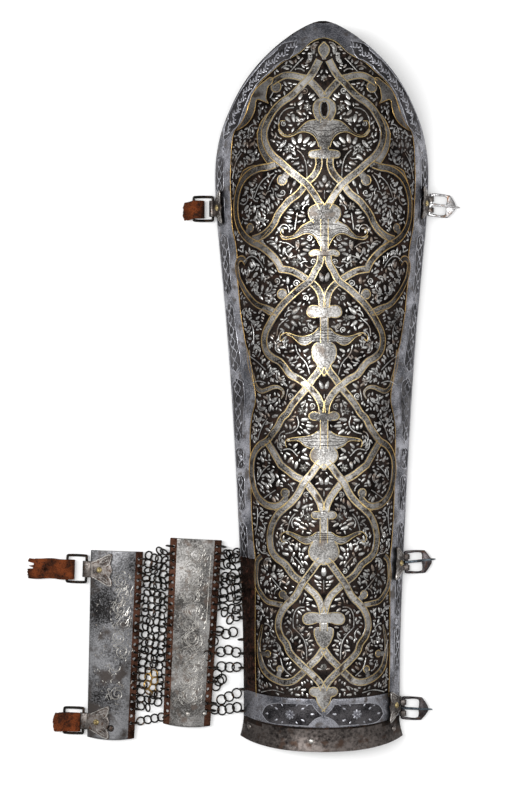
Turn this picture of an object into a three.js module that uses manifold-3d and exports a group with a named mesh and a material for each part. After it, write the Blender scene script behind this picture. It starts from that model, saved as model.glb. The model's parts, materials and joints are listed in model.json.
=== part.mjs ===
// A Persian forearm guard of chiselled steel: one long gutter-shaped forearm plate with a pointed
// elbow end, and two small wrist plates that hang from its left rim on panels of iron mail.
// Butterfly-shaped mounts are riveted to the rims and carry buckles, strap loops and leather stubs.
// Millimetres. The guard lies hollow side down: X across the forearm, Y from wrist to elbow, Z up.
import * as THREE from 'three';
import { mergeVertices } from 'three/addons/utils/BufferGeometryUtils.js';
import Module from 'manifold-3d';

const wasm = await Module();
wasm.setup();

// Forearm plate
const plateLength = 330;
const plateHalfWidth = 49.1;
const plateWall = 1.2;
const wristArc = THREE.MathUtils.degToRad(58);
const elbowArc = THREE.MathUtils.degToRad(73);
const arcGrowthLength = 200;
const prowDrop = 14;
const lipLength = 11;
const lipFlare = 1.9;
const lipSag = 4.4;
const edgeHeight = 2.75;

// Half width of the forearm plate, as shares of its length and of its greatest half width
const outlineShares = [
  [0, 0.731], [0.061, 0.731], [0.144, 0.737], [0.229, 0.756], [0.341, 0.79], [0.481, 0.841],
  [0.593, 0.896], [0.677, 0.947], [0.742, 0.986], [0.797, 1], [0.8315, 0.976], [0.857, 0.931],
  [0.884, 0.853], [0.91, 0.758], [0.936, 0.629], [0.96, 0.47], [0.976, 0.336], [0.987, 0.226],
  [0.998, 0.079], [1, 0.03],
];
const shoulderShare = 0.797;
const prowPower = 2.2;
const sagPower = 2.5;
const sagFadeLength = 70;

// Wrist plates. The inner one lies beside the forearm plate's rim, the outer one beside the inner.
const innerBesideRim = 24.16;
const outerBesideInner = 35.75;
const wristWall = 1.2;
const wristRise = 1.8;
const wristEndBulge = 0.9;
const wristPlateLength = 85.8;
const outerExtraLength = 0.4;
const rimHalfWidth = plateHalfWidth * outlineShares[0][1];
const innerPlate = { x: -rimHalfWidth - innerBesideRim, wristEnd: 9,
  lean: THREE.MathUtils.degToRad(2.94), length: wristPlateLength,
  wristHalf: 10.8, elbowHalf: 11.85 };
const outerPlate = { x: innerPlate.x - outerBesideInner, wristEnd: 3.1,
  lean: THREE.MathUtils.degToRad(1.96), length: wristPlateLength + outerExtraLength,
  wristHalf: 10.75, elbowHalf: 11.95 };

// Iron mail and the holes that carry it
const wireRadius = 0.36;
const outerRingRadius = 1.85;
const innerRingRadius = 2.2;
const netHeight = 0.75;
const netWall = 0.7;
const netInset = 1.05;
const netHoleShare = 0.8;
const holeHalf = 0.77;
const holeCount = 24;
const holeSetback = 0.1;
const ringSteps = 6;
const linkShare = 0.86;
const wireSides = 3;

// Clearances and cuts
const seatGap = 0.3;
const overrun = 1;

// Butterfly mounts
const mountWall = 0.8;
const mountFoot = 0.2;
const mountBodyHalf = 3.9;
const mountWingSpan = 7.7;
const mountReach = 9.2;
const rivetSetback = 3.8;
const foldRadius = 1.7;
const foldHalf = 3.7;
const barReach = 2.2;
const buckleBarHeight = 1.75;
const loopBarHeight = 2.1;
const slotHalf = 1;
const slotRadius = 3.3;

// Rivets
const rivetRadius = 0.9;
const rivetHoleRadius = 1.2;
const rivetHeadRadius = 1.7;
const rivetHeadHeight = 1;
const rivetPeenRadius = 1.55;
const rivetPeenHeight = 0.5;
const rivetSides = 8;

// Buckles
const barRadius = 0.75;
const frameWall = 1.5;
const frameHalf = 5.25;
const frameArm = 1.15;
const frameWindow = 7.2;
const frameShoulder = 9.1;
const frameReach = 12;
const tongueEyeRadius = 1.85;
const tongueHalf = 0.55;
const tongueEyeHalf = 0.7;
const tongueWall = 0.9;
const tongueReach = 13.7;
const barSides = 10;

// Strap loops and leather stubs
const loopBarRadius = 0.65;
const loopDepth = 8.8;
const loopHalf = 6.25;
const leatherWall = 1;
const strapHalf = 4.4;
const strapTailWall = 2.2;
const strapJoin = 4;
const notchShare = 0.18;
const strapHoleRadius = 0.8;
const strapHoleAt = 11.4;

// Colours and finishes
const steel = { color: 0x5a5654, roughness: 0.45, metalness: 0.9 };
const wristSteel = { color: 0x6b6762, roughness: 0.5, metalness: 0.85 };
const iron = { color: 0x24201e, roughness: 0.6, metalness: 0.8 };
const brass = { color: 0xa8873f, roughness: 0.4, metalness: 0.9 };
const silver = { color: 0xb9b6b0, roughness: 0.4, metalness: 0.9 };
const mountSteel = { color: 0x54504e, roughness: 0.45, metalness: 0.9 };
const leather = { color: 0x6a3d22, roughness: 0.85, metalness: 0 };

// Solids and meshes
function solidOf(geometry) {
  const bare = geometry.clone();
  bare.deleteAttribute('normal');
  bare.deleteAttribute('uv');
  const merged = mergeVertices(bare);
  return new wasm.Manifold(new wasm.Mesh({
    numProp: 3,
    vertProperties: new Float32Array(merged.attributes.position.array),
    triVerts: new Uint32Array(merged.index.array),
  }));
}

function geometryOf(solid) {
  const mesh = solid.getMesh();
  const geometry = new THREE.BufferGeometry();
  geometry.setAttribute('position', new THREE.BufferAttribute(mesh.vertProperties, 3));
  geometry.setIndex(new THREE.BufferAttribute(mesh.triVerts, 1));
  geometry.computeVertexNormals();
  return geometry;
}

function named(name, shape, finish) {
  const geometry = shape.isBufferGeometry ? shape : geometryOf(shape);
  const mesh = new THREE.Mesh(geometry, new THREE.MeshStandardMaterial(finish));
  mesh.name = name;
  return mesh;
}

function fused(solids) {
  return solids.reduce((whole, solid) => whole.add(solid));
}

// A smooth curve through pairs of shares that never overshoots its points
function follow(pairs, share) {
  const last = pairs.length - 1;
  const at = THREE.MathUtils.clamp(share, pairs[0][0], pairs[last][0]);
  let i = 0;
  while (i < last - 1 && at > pairs[i + 1][0]) i += 1;
  const rise = (k) => (pairs[k + 1][1] - pairs[k][1]) / (pairs[k + 1][0] - pairs[k][0]);
  const slope = (k) => {
    if (k === 0) return rise(0);
    if (k === last) return rise(last - 1);
    const before = rise(k - 1);
    const after = rise(k);
    return before * after <= 0 ? 0 : (2 * before * after) / (before + after);
  };
  const span = pairs[i + 1][0] - pairs[i][0];
  const t = (at - pairs[i][0]) / span;
  const startWeight = (1 + 2 * t) * (1 - t) ** 2;
  const endWeight = t * t * (3 - 2 * t);
  const bend = t * (1 - t) * span * ((1 - t) * slope(i) - t * slope(i + 1));
  return pairs[i][1] * startWeight + pairs[i + 1][1] * endWeight + bend;
}

// The forearm plate is an arc in every section. Its half angle grows from wrist to elbow, and past
// the shoulder the arc keeps its radius while the plate narrows and its crown dips to the tip.
function forearmSection(share) {
  const half = plateHalfWidth * follow(outlineShares, share);
  const growth = Math.min(1, (Math.min(share, shoulderShare) * plateLength) / arcGrowthLength);
  const tubeArc = wristArc + (elbowArc - wristArc) * growth * (2 - growth);
  if (share <= shoulderShare) {
    const radius = half / Math.sin(tubeArc) - plateWall / 2;
    return { radius, arc: tubeArc, centre: edgeHeight - radius * Math.cos(tubeArc) };
  }
  const radius = plateHalfWidth / Math.sin(tubeArc) - plateWall / 2;
  const past = (share - shoulderShare) / (1 - shoulderShare);
  const dip = prowDrop * past ** prowPower;
  return {
    radius,
    arc: Math.asin(half / (radius + plateWall / 2)),
    centre: edgeHeight - radius * Math.cos(tubeArc) - dip,
  };
}

function forearmPoint(share, turn, offset) {
  const section = forearmSection(share);
  const along = share * plateLength;
  const flare = lipFlare * Math.max(0, 1 - along / lipLength) ** 2;
  const sag = lipSag * Math.abs(turn) ** sagPower * Math.max(0, 1 - along / sagFadeLength) ** 2;
  const angle = turn * section.arc;
  const radius = section.radius + offset + flare;
  return new THREE.Vector3(
    radius * Math.sin(angle),
    along + sag,
    section.centre + radius * Math.cos(angle),
  );
}

// A closed shell from a grid of points on its outer and inner faces
function shell(rows, columns, pointAt) {
  const positions = [];
  const index = [];
  const spot = (face, row, column) => (face * (rows + 1) + row) * (columns + 1) + column;
  for (const face of [0, 1]) {
    for (let row = 0; row <= rows; row += 1) {
      for (let column = 0; column <= columns; column += 1) {
        positions.push(...pointAt(row, column, face === 0 ? 1 : -1).toArray());
      }
    }
  }
  const quad = (a, b, c, d) => index.push(a, b, c, a, c, d);
  for (let row = 0; row < rows; row += 1) {
    for (let column = 0; column < columns; column += 1) {
      quad(spot(0, row, column), spot(0, row, column + 1),
        spot(0, row + 1, column + 1), spot(0, row + 1, column));
      quad(spot(1, row, column), spot(1, row + 1, column),
        spot(1, row + 1, column + 1), spot(1, row, column + 1));
    }
    quad(spot(0, row, 0), spot(0, row + 1, 0), spot(1, row + 1, 0), spot(1, row, 0));
    quad(spot(0, row, columns), spot(1, row, columns),
      spot(1, row + 1, columns), spot(0, row + 1, columns));
  }
  for (let column = 0; column < columns; column += 1) {
    quad(spot(0, 0, column), spot(1, 0, column), spot(1, 0, column + 1), spot(0, 0, column + 1));
    quad(spot(0, rows, column), spot(0, rows, column + 1),
      spot(1, rows, column + 1), spot(1, rows, column));
  }
  const geometry = new THREE.BufferGeometry();
  geometry.setAttribute('position', new THREE.Float32BufferAttribute(positions, 3));
  geometry.setIndex(index);
  return geometry;
}

const crownColumns = 14;
const bodyRows = 19;
const lipShares = [0, 0.35, 0.7];
const rowPower = 1.7;
const lipEndShare = lipLength / plateLength;
const rowShares = lipShares.map((part) => part * lipEndShare);
for (let row = 0; row <= bodyRows; row += 1) {
  rowShares.push(1 - (1 - lipEndShare) * (1 - row / bodyRows) ** rowPower);
}

function forearmShell() {
  return shell(rowShares.length - 1, crownColumns, (row, column, face) => forearmPoint(
    rowShares[row],
    (2 * column) / crownColumns - 1,
    (face * plateWall) / 2,
  ));
}

// Where a wall lies at a given distance up from its edge: x inward from the edge, z above the table
function forearmSpot(along, setback, side) {
  const section = forearmSection(along / plateLength);
  const angle = section.arc - setback / section.radius;
  const radius = section.radius + plateWall / 2;
  return {
    edge: new THREE.Vector3(side * section.radius * Math.sin(section.arc), along, 0),
    x: section.radius * Math.sin(section.arc) - radius * Math.sin(angle),
    z: section.centre + radius * Math.cos(angle),
    tilt: angle,
    wall: plateWall,
  };
}

function wristHalfAt(plate, along) {
  const share = along / plate.length + 1 / 2;
  return plate.wristHalf + (plate.elbowHalf - plate.wristHalf) * share;
}

function wristSpot(plate, along, setback, side) {
  const half = wristHalfAt(plate, along);
  const turn = 1 - setback / half;
  const tilt = Math.atan((2 * wristRise * turn) / half);
  return {
    edge: new THREE.Vector3(side * half, along, 0),
    x: setback - (wristWall / 2) * Math.sin(tilt),
    z: edgeHeight + wristRise * (1 - turn * turn) + (wristWall / 2) * Math.cos(tilt),
    tilt,
    wall: wristWall,
  };
}

function wristShell(plate) {
  const columns = 6;
  return shell(1, columns, (row, column, face) => {
    const turn = (2 * column) / columns - 1;
    const end = 2 * row - 1;
    const along = (end * plate.length) / 2;
    const crown = 1 - turn * turn;
    return new THREE.Vector3(
      turn * wristHalfAt(plate, along),
      along + (row === 0 ? -wristEndBulge * crown : 0),
      edgeHeight + wristRise * crown + (face * wristWall) / 2,
    );
  });
}

function wristFrame(plate) {
  return new THREE.Matrix4().makeTranslation(plate.x, plate.wristEnd + plate.length / 2, 0)
    .multiply(new THREE.Matrix4().makeRotationZ(-plate.lean));
}

// Each mailed edge is a straight line that the rings turn about. Its holes are evenly spaced, from
// a first one below its elbow end to a last one above its wrist end.
function mailedEdge(low, high, { first, last }) {
  const way = low.clone().sub(high);
  const pitch = (way.length() - first - last) / (holeCount - 1);
  return { low, high, first, pitch, way: way.normalize() };
}

function wristEdge(plate, side, frame, margins) {
  const at = (end) => new THREE.Vector3(
    side * wristHalfAt(plate, (end * plate.length) / 2),
    (end * plate.length) / 2,
    edgeHeight,
  ).applyMatrix4(frame);
  return mailedEdge(at(-1), at(1), margins);
}

function holeSpot(line, row) {
  return line.high.clone().addScaledVector(line.way, line.first + row * line.pitch);
}

const rimMargins = { first: 6, last: 4.12 };
const innerRightMargins = { first: 2.8, last: 7.1 };
const innerLeftMargins = { first: 3.9, last: 6 };
const outerRightMargins = { first: 3.3, last: 7 };
const rimBelowPlate = 1;
const rimShorter = 0.8;
const rimLow = innerPlate.wristEnd - rimBelowPlate;
const rimHigh = innerPlate.wristEnd + innerPlate.length - rimShorter;
function rimEdge(along) {
  return new THREE.Vector3(forearmSpot(along, 0, -1).edge.x, along, edgeHeight);
}
const innerFrame = wristFrame(innerPlate);
const outerFrame = wristFrame(outerPlate);
const mainLine = mailedEdge(rimEdge(rimLow), rimEdge(rimHigh), rimMargins);
const innerRightLine = wristEdge(innerPlate, 1, innerFrame, innerRightMargins);
const innerLeftLine = wristEdge(innerPlate, -1, innerFrame, innerLeftMargins);
const outerRightLine = wristEdge(outerPlate, 1, outerFrame, outerRightMargins);

// The hole sits one ring radius from the edge, where the ring's wire goes through the wall
function holeCutter(spot, reach, wall) {
  const cutter = new THREE.BoxGeometry(2 * holeHalf, 2 * holeHalf, wall + 2 * overrun);
  cutter.rotateY(reach.tilt * reach.side);
  cutter.translate(spot.x + reach.x, spot.y + reach.y, spot.z + reach.z);
  return solidOf(cutter);
}

function wristHoles(plate, side, line, ringRadius, frame) {
  const back = frame.clone().invert();
  const cutters = [];
  for (let row = 0; row < holeCount; row += 1) {
    const spot = holeSpot(line, row).applyMatrix4(back);
    const half = wristHalfAt(plate, spot.y);
    const tilt = Math.atan((2 * wristRise) / half);
    const setback = ringRadius - holeSetback;
    cutters.push(holeCutter(spot, {
      x: -side * setback * Math.cos(tilt), y: 0, z: setback * Math.sin(tilt), tilt, side,
    }, wristWall));
  }
  return cutters;
}

function forearmHoles() {
  const cutters = [];
  for (let row = 0; row < holeCount; row += 1) {
    const spot = holeSpot(mainLine, row);
    const section = forearmSection(spot.y / plateLength);
    const setback = innerRingRadius - holeSetback;
    const angle = section.arc - setback / section.radius;
    const wall = new THREE.Vector3(
      -section.radius * Math.sin(angle), spot.y, section.centre + section.radius * Math.cos(angle));
    const reach = wall.sub(spot).setLength(setback);
    cutters.push(holeCutter(spot, {
      x: reach.x, y: reach.y, z: reach.z, tilt: angle, side: -1,
    }, plateWall));
  }
  return cutters;
}

// Mail
function uprightRing({ line, row, radius }) {
  const ring = new THREE.TorusGeometry(radius, wireRadius, wireSides, ringSteps);
  const turn = new THREE.Quaternion().setFromUnitVectors(new THREE.Vector3(0, 0, 1), line.way);
  ring.applyQuaternion(turn);
  const spot = holeSpot(line, row);
  ring.translate(spot.x, spot.y, spot.z);
  return solidOf(ring);
}

function hexagon(centre, radius) {
  const points = [];
  for (let corner = 0; corner < 6; corner += 1) {
    const angle = (corner * Math.PI) / 3;
    points.push(new THREE.Vector2(
      centre.x + radius * Math.cos(angle), centre.y + radius * Math.sin(angle)));
  }
  return points;
}

// The widest circle that leaves wire between all the holes, and between them and the row's ends
function roomPerHole(centres, rowStep, across) {
  let least = Math.abs(rowStep.cross(across)) / across.length();
  centres.forEach((a, i) => {
    for (const b of centres.slice(i + 1)) least = Math.min(least, a.distanceTo(b));
  });
  return least / 2;
}

// A flat web of wire between two mailed edges, open at every ring
function webBetween(left, right, rows, columns) {
  const spotAt = (row, share) => {
    const spot = holeSpot(left.line, left.row + row).lerp(holeSpot(right.line, right.row + row), share);
    return new THREE.Vector2(spot.x, spot.y);
  };
  const across = spotAt(0, 1).sub(spotAt(0, 0));
  const inset = netInset / across.length();
  const margin = 1 / 2;
  const shape = new THREE.Shape([
    spotAt(-margin, inset), spotAt(rows - 1 + margin, inset),
    spotAt(rows - 1 + margin, 1 - inset), spotAt(-margin, 1 - inset),
  ]);
  const centres = [];
  for (let column = 0; column < columns; column += 1) {
    const share = inset + ((1 - 2 * inset) * (column + 1 / 2)) / columns;
    const shift = column % 2 === 0 ? 0 : 1 / 2;
    for (let row = shift; row <= rows - 1; row += 1) centres.push(spotAt(row, share));
  }
  const rowStep = spotAt(1, 0).sub(spotAt(0, 0));
  const radius = netHoleShare * roomPerHole(centres, rowStep, across);
  for (const centre of centres) shape.holes.push(new THREE.Path(hexagon(centre, radius)));
  const web = new THREE.ExtrudeGeometry(shape, { depth: netWall, bevelEnabled: false });
  web.translate(0, 0, netHeight - netWall / 2);
  return solidOf(web);
}

function mailPanel(left, right, rows, columns) {
  const solids = [webBetween(left, right, rows, columns)];
  for (let row = 0; row < rows; row += 1) {
    solids.push(uprightRing({ ...left, row: left.row + row }));
    solids.push(uprightRing({ ...right, row: right.row + row }));
  }
  return fused(solids);
}

// Flat rings laid in a row from one upright ring to the next, as one scalloped strip
function flatChain(start, end, radius) {
  const length = Math.hypot(end.x - start.x, end.y - start.y);
  const heading = Math.atan2(end.y - start.y, end.x - start.x);
  const count = Math.ceil(length / (2 * radius * linkShare));
  const pitch = length / count;
  const outer = radius + wireRadius;
  const shape = new THREE.Shape();
  const side = [];
  for (let i = 0; i < count; i += 1) {
    side.push([i * pitch, outer / 2], [(i + 1 / 4) * pitch, outer], [(i + 3 / 4) * pitch, outer]);
  }
  side.push([length, outer / 2]);
  const mirrored = [...side].reverse().map(([x, y]) => [x, -y]);
  shape.setFromPoints([...mirrored, ...side].map(([x, y]) => new THREE.Vector2(x, y)));
  for (let i = 0; i < count; i += 1) {
    const centre = new THREE.Vector2((i + 1 / 2) * pitch, 0);
    shape.holes.push(new THREE.Path(hexagon(centre, pitch / 2 - wireRadius)));
  }
  const strip = new THREE.ExtrudeGeometry(shape, { depth: netWall, bevelEnabled: false });
  strip.rotateZ(heading);
  strip.translate(start.x, start.y, netHeight - netWall / 2);
  return solidOf(strip);
}

function mailChain(left, right) {
  const a = holeSpot(left.line, left.row);
  const b = holeSpot(right.line, right.row);
  const course = b.clone().sub(a).normalize();
  const start = a.clone().addScaledVector(course, netInset);
  const end = b.clone().addScaledVector(course, -netInset);
  return fused([flatChain(start, end, left.radius), uprightRing(left), uprightRing(right)]);
}

const innerLeft = (row) => ({ line: innerRightLine, row, radius: innerRingRadius });
const innerRight = (row) => ({ line: mainLine, row, radius: innerRingRadius });
const outerLeft = (row) => ({ line: outerRightLine, row, radius: outerRingRadius });
const outerRight = (row) => ({ line: innerLeftLine, row, radius: outerRingRadius });

// Butterfly mount: its body stands over the rim, two wings flare above it and a nub sits between.
// Its own frame has X outward from the edge, Y along the edge and Z up, with zero at the table.
const wingShares = [
  [0.16, 0.51], [0.9, 1], [0.99, 0.97], [1, 0.86], [0.8, 0.27],
  [0.86, 0.18], [0.99, 0.18],
];
function butterflyOutline() {
  const upper = [[mountFoot / mountReach, mountBodyHalf / mountWingSpan], ...wingShares];
  const lower = [...upper].reverse().map(([up, span]) => [up, -span]);
  return new THREE.Shape([...upper, ...lower].map(([up, span]) => new THREE.Vector2(
    rivetSetback - up * mountReach, span * mountWingSpan)).reverse());
}

function cylinderAcross(radius, width, x, z, sides) {
  const bar = new THREE.CylinderGeometry(radius, radius, width, sides);
  bar.translate(x, 0, z);
  return solidOf(bar);
}

function beam(start, end, wall, width) {
  const run = end.clone().sub(start);
  const box = new THREE.BoxGeometry(run.length(), width, wall);
  box.rotateY(-Math.atan2(run.y, run.x));
  box.translate((start.x + end.x) / 2, 0, (start.y + end.y) / 2);
  return solidOf(box);
}

function mountSolid(spot, barHeight, barClear, slotted) {
  const normal = new THREE.Vector2(Math.sin(spot.tilt), Math.cos(spot.tilt));
  const down = new THREE.Vector2(Math.cos(spot.tilt), -Math.sin(spot.tilt));
  const leaf = new THREE.ExtrudeGeometry(
    butterflyOutline(), { depth: mountWall, bevelEnabled: false });
  leaf.translate(0, 0, seatGap);
  leaf.rotateY(spot.tilt);
  leaf.translate(-spot.x, 0, spot.z);
  const foot = new THREE.Vector2(-spot.x, spot.z)
    .addScaledVector(down, rivetSetback - mountFoot - mountWall / 2)
    .addScaledVector(normal, seatGap + mountWall / 2);
  const bar = new THREE.Vector2(barReach, barHeight);
  const middle = foldRadius - mountWall / 2;
  const toFoot = foot.clone().sub(bar);
  const rest = Math.atan2(toFoot.y, toFoot.x) - Math.acos(Math.min(1, middle / toFoot.length()));
  const top = bar.clone().add(new THREE.Vector2(Math.cos(rest), Math.sin(rest)).setLength(middle));
  let solid = fused([
    solidOf(leaf),
    beam(foot, top, mountWall, 2 * foldHalf),
    cylinderAcross(foldRadius, 2 * foldHalf, bar.x, bar.y, barSides),
  ]);
  solid = solid.subtract(
    cylinderAcross(barClear, 2 * foldHalf + 2 * overrun, bar.x, bar.y, barSides));
  if (slotted) {
    solid = solid.subtract(cylinderAcross(slotRadius, 2 * slotHalf, bar.x, bar.y, barSides));
  }
  return solid.subtract(rivetCutter(spot));
}

function rivetCutter(spot) {
  const cutter = new THREE.CylinderGeometry(
    rivetHoleRadius, rivetHoleRadius, 2 * (spot.wall + mountWall + overrun), rivetSides);
  cutter.rotateX(Math.PI / 2);
  cutter.rotateY(spot.tilt);
  cutter.translate(-spot.x, 0, spot.z);
  return solidOf(cutter);
}

// A rivet with a domed head outside and a low peened end inside, its shank through the wall
function rivetGeometry(wall, seat, headRadius, headHeight) {
  const inner = -wall - seatGap;
  const profile = [
    [0, inner - rivetPeenHeight], [rivetPeenRadius, inner], [rivetRadius, inner],
    [rivetRadius, seat], [headRadius, seat], [headRadius * Math.SQRT1_2, seat + headHeight * 3 / 4],
    [0, seat + headHeight],
  ].map(([r, h]) => new THREE.Vector2(r, h));
  const rivet = new THREE.LatheGeometry(profile, rivetSides);
  rivet.rotateX(Math.PI / 2);
  return geometryOf(solidOf(rivet));
}

function mountRivet(name, spot) {
  const seat = seatGap + mountWall + seatGap;
  const rivet = named(name,
    rivetGeometry(spot.wall, seat, rivetHeadRadius, rivetHeadHeight), brass);
  rivet.position.set(-spot.x, 0, spot.z);
  rivet.rotation.y = spot.tilt;
  return rivet;
}

// Buckle: a five-sided frame with a round bar at its root, and a tongue on the same bar
function frameSolid() {
  const arm = frameHalf - frameArm;
  const tipHalfShare = 0.38;
  const tipShare = 0.95;
  const outline = [
    [-barRadius, frameHalf], [-barRadius, arm], [frameWindow, arm], [frameWindow, -arm],
    [-barRadius, -arm], [-barRadius, -frameHalf], [frameShoulder, -frameHalf],
    [tipShare * frameReach, -tipHalfShare * frameHalf], [frameReach, 0],
    [tipShare * frameReach, tipHalfShare * frameHalf], [frameShoulder, frameHalf],
  ].map(([x, y]) => new THREE.Vector2(x, y));
  const frame = new THREE.ExtrudeGeometry(
    new THREE.Shape(outline), { depth: frameWall, bevelEnabled: false });
  frame.translate(0, 0, -frameWall / 2);
  return solidOf(frame).add(cylinderAcross(barRadius, 2 * frameHalf - frameArm, 0, 0, barSides));
}

function tongueSolid(yaw) {
  const base = frameWall / 2 + seatGap;
  const tipShare = 0.9;
  const tipHalf = tongueHalf / 2;
  const shank = new THREE.ExtrudeGeometry(new THREE.Shape([
    [0, -tongueHalf], [tipShare * tongueReach, -tongueHalf], [tongueReach, -tipHalf],
    [tongueReach, tipHalf], [tipShare * tongueReach, tongueHalf], [0, tongueHalf],
  ].map(([x, y]) => new THREE.Vector2(x, y))), { depth: tongueWall, bevelEnabled: false });
  shank.rotateZ(yaw);
  shank.translate(0, 0, base);
  return solidOf(shank)
    .add(cylinderAcross(tongueEyeRadius, 2 * tongueEyeHalf, 0, 0, barSides))
    .subtract(cylinderAcross(
      barRadius + seatGap, 2 * tongueEyeHalf + 2 * overrun, 0, 0, barSides));
}

// Strap loop: two round bars and two side pieces
function loopSolid() {
  const side = new THREE.BoxGeometry(
    loopDepth + 2 * loopBarRadius, 2 * loopBarRadius, 2 * loopBarRadius);
  const sideAt = loopHalf - loopBarRadius;
  const left = side.clone().translate(loopDepth / 2, sideAt, 0);
  const right = side.clone().translate(loopDepth / 2, -sideAt, 0);
  return fused([
    solidOf(left),
    solidOf(right),
    cylinderAcross(loopBarRadius, 2 * sideAt, 0, 0, barSides),
    cylinderAcross(loopBarRadius, 2 * sideAt, loopDepth, 0, barSides),
  ]);
}

// Leather stub folded round the loop's far bar, its two layers stitched flat and its end torn off
function strapSolid(length, skew) {
  const bore = loopBarRadius + seatGap;
  const fold = bore + leatherWall;
  const backSteps = 6;
  const tailTop = strapTailWall - fold;
  const points = [new THREE.Vector2(strapJoin, tailTop)];
  for (let step = 0; step <= backSteps; step += 1) {
    const angle = Math.PI / 2 + (Math.PI * step) / backSteps;
    points.push(new THREE.Vector2(fold * Math.cos(angle), fold * Math.sin(angle)));
  }
  points.push(new THREE.Vector2(length, -fold), new THREE.Vector2(length, tailTop));
  const body = new THREE.ExtrudeGeometry(
    new THREE.Shape(points), { depth: 2 * strapHalf, bevelEnabled: false });
  body.rotateX(Math.PI / 2);
  body.translate(0, strapHalf, 0);
  const notchDepth = notchShare * length;
  const notch = new THREE.ExtrudeGeometry(new THREE.Shape([
    new THREE.Vector2(length + overrun, -strapHalf / 2),
    new THREE.Vector2(length + overrun, strapHalf / 2),
    new THREE.Vector2(length - notchDepth, strapHalf / 4),
  ]), { depth: 2 * fold + 2 * overrun, bevelEnabled: false });
  notch.translate(0, 0, -fold - overrun);
  let cut = solidOf(body)
    .subtract(cylinderAcross(bore, 2 * strapHalf + 2 * overrun, 0, 0, barSides))
    .subtract(solidOf(notch));
  if (length - notchDepth > strapHoleAt + strapHoleRadius) {
    const hole = new THREE.CylinderGeometry(
      strapHoleRadius, strapHoleRadius, 2 * fold + 2 * overrun, rivetSides);
    hole.rotateX(Math.PI / 2);
    hole.translate(strapHoleAt, 0, 0);
    cut = cut.subtract(solidOf(hole));
  }
  const geometry = geometryOf(cut);
  const position = geometry.attributes.position;
  for (let i = 0; i < position.count; i += 1) {
    const out = Math.max(0, position.getX(i));
    position.setY(i, position.getY(i) + out * Math.tan(skew));
  }
  return geometry;
}

// A mount with what hangs on it, in a group whose X points outward from the edge
function buckleGroup(place, spot, yaw) {
  const group = new THREE.Group();
  group.add(named(`strap_mount_${place}`,
    mountSolid(spot, buckleBarHeight, barRadius + seatGap, true), mountSteel));
  group.add(mountRivet(`mount_rivet_${place}`, spot));
  const bar = new THREE.Group();
  bar.position.set(barReach, 0, buckleBarHeight);
  bar.add(named(`buckle_frame_${place}`, frameSolid(), iron));
  bar.add(named(`buckle_tongue_${place}`, tongueSolid(yaw), iron));
  group.add(bar);
  return group;
}

function loopGroup(place, spot, strapLength, skew) {
  const group = new THREE.Group();
  group.add(named(`strap_mount_${place}`,
    mountSolid(spot, loopBarHeight, loopBarRadius + seatGap, false), mountSteel));
  group.add(mountRivet(`mount_rivet_${place}`, spot));
  const bar = new THREE.Group();
  bar.position.set(barReach, 0, loopBarHeight);
  bar.add(named(`strap_loop_${place}`, loopSolid(), iron));
  const strap = named(`leather_strap_${place}`, strapSolid(strapLength, skew), leather);
  strap.position.x = loopDepth;
  bar.add(strap);
  group.add(bar);
  return group;
}

function rimGroup(group, edge, side) {
  group.position.copy(edge);
  group.rotation.z = side > 0 ? 0 : Math.PI;
  return group;
}

// Places of the mounts: the upper two below the forearm plate's shoulder, the others above its
// wrist end, and on the outer wrist plate one near each end
const upperLeftBelow = 15.8;
const upperRightBelow = 13.8;
const midRightAlong = 84;
const lowerRightAlong = 16.7;
const wristUpperInset = 8.9;
const wristLowerInset = 7.2;
const upperLeftAlong = shoulderShare * plateLength - upperLeftBelow;
const upperRightAlong = shoulderShare * plateLength - upperRightBelow;
const wristUpperAlong = outerPlate.length / 2 - wristUpperInset;
const wristLowerAlong = wristLowerInset - outerPlate.length / 2;
const upperYaw = THREE.MathUtils.degToRad(-6.5);
const midYaw = THREE.MathUtils.degToRad(8);
const lowerYaw = THREE.MathUtils.degToRad(-2.5);
const forearmStrapLength = 7;
const wristUpperStrapLength = 19;
const wristLowerStrapLength = 9.8;
const forearmStrapSkew = THREE.MathUtils.degToRad(14);

const upperLeft = forearmSpot(upperLeftAlong, rivetSetback, -1);
const upperRight = forearmSpot(upperRightAlong, rivetSetback, 1);
const midRight = forearmSpot(midRightAlong, rivetSetback, 1);
const lowerRight = forearmSpot(lowerRightAlong, rivetSetback, 1);
const wristUpper = wristSpot(outerPlate, wristUpperAlong, rivetSetback, -1);
const wristLower = wristSpot(outerPlate, wristLowerAlong, rivetSetback, -1);

// Small rivets that held the lining, each at its distance above the wrist end of its plate
const liningHeadRadius = 1.25;
const liningHeadHeight = 0.7;
const forearmLining = [
  { above: 4.6, turnShare: -0.12 }, { above: 5.4, turnShare: 0.87 }, { above: 6.2, turnShare: -0.88 },
];
const innerLining = [{ above: 5.3, turnShare: 0.03 }, { above: 5.7, turnShare: 0.72 }];
const outerLining = [{ above: 4.5, turnShare: 0 }];

function forearmNormal(share, turn) {
  const base = forearmPoint(share, turn, plateWall / 2);
  return forearmPoint(share, turn, plateWall).sub(base).normalize();
}

function wristPoint(plate, alongPlate, turn) {
  const half = wristHalfAt(plate, alongPlate);
  const tilt = Math.atan((2 * wristRise * turn) / half);
  const normal = new THREE.Vector3(Math.sin(tilt), 0, Math.cos(tilt));
  const point = new THREE.Vector3(
    turn * half, alongPlate, edgeHeight + wristRise * (1 - turn * turn));
  return { point: point.addScaledVector(normal, wristWall / 2), normal };
}

function liningSeat(point, normal) {
  const turn = new THREE.Quaternion().setFromUnitVectors(new THREE.Vector3(0, 0, 1), normal);
  return { point, turn };
}

function liningRivet(name, seat, wall) {
  const rivet = named(name,
    rivetGeometry(wall, seatGap, liningHeadRadius, liningHeadHeight), silver);
  rivet.position.copy(seat.point);
  rivet.quaternion.copy(seat.turn);
  return rivet;
}

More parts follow.
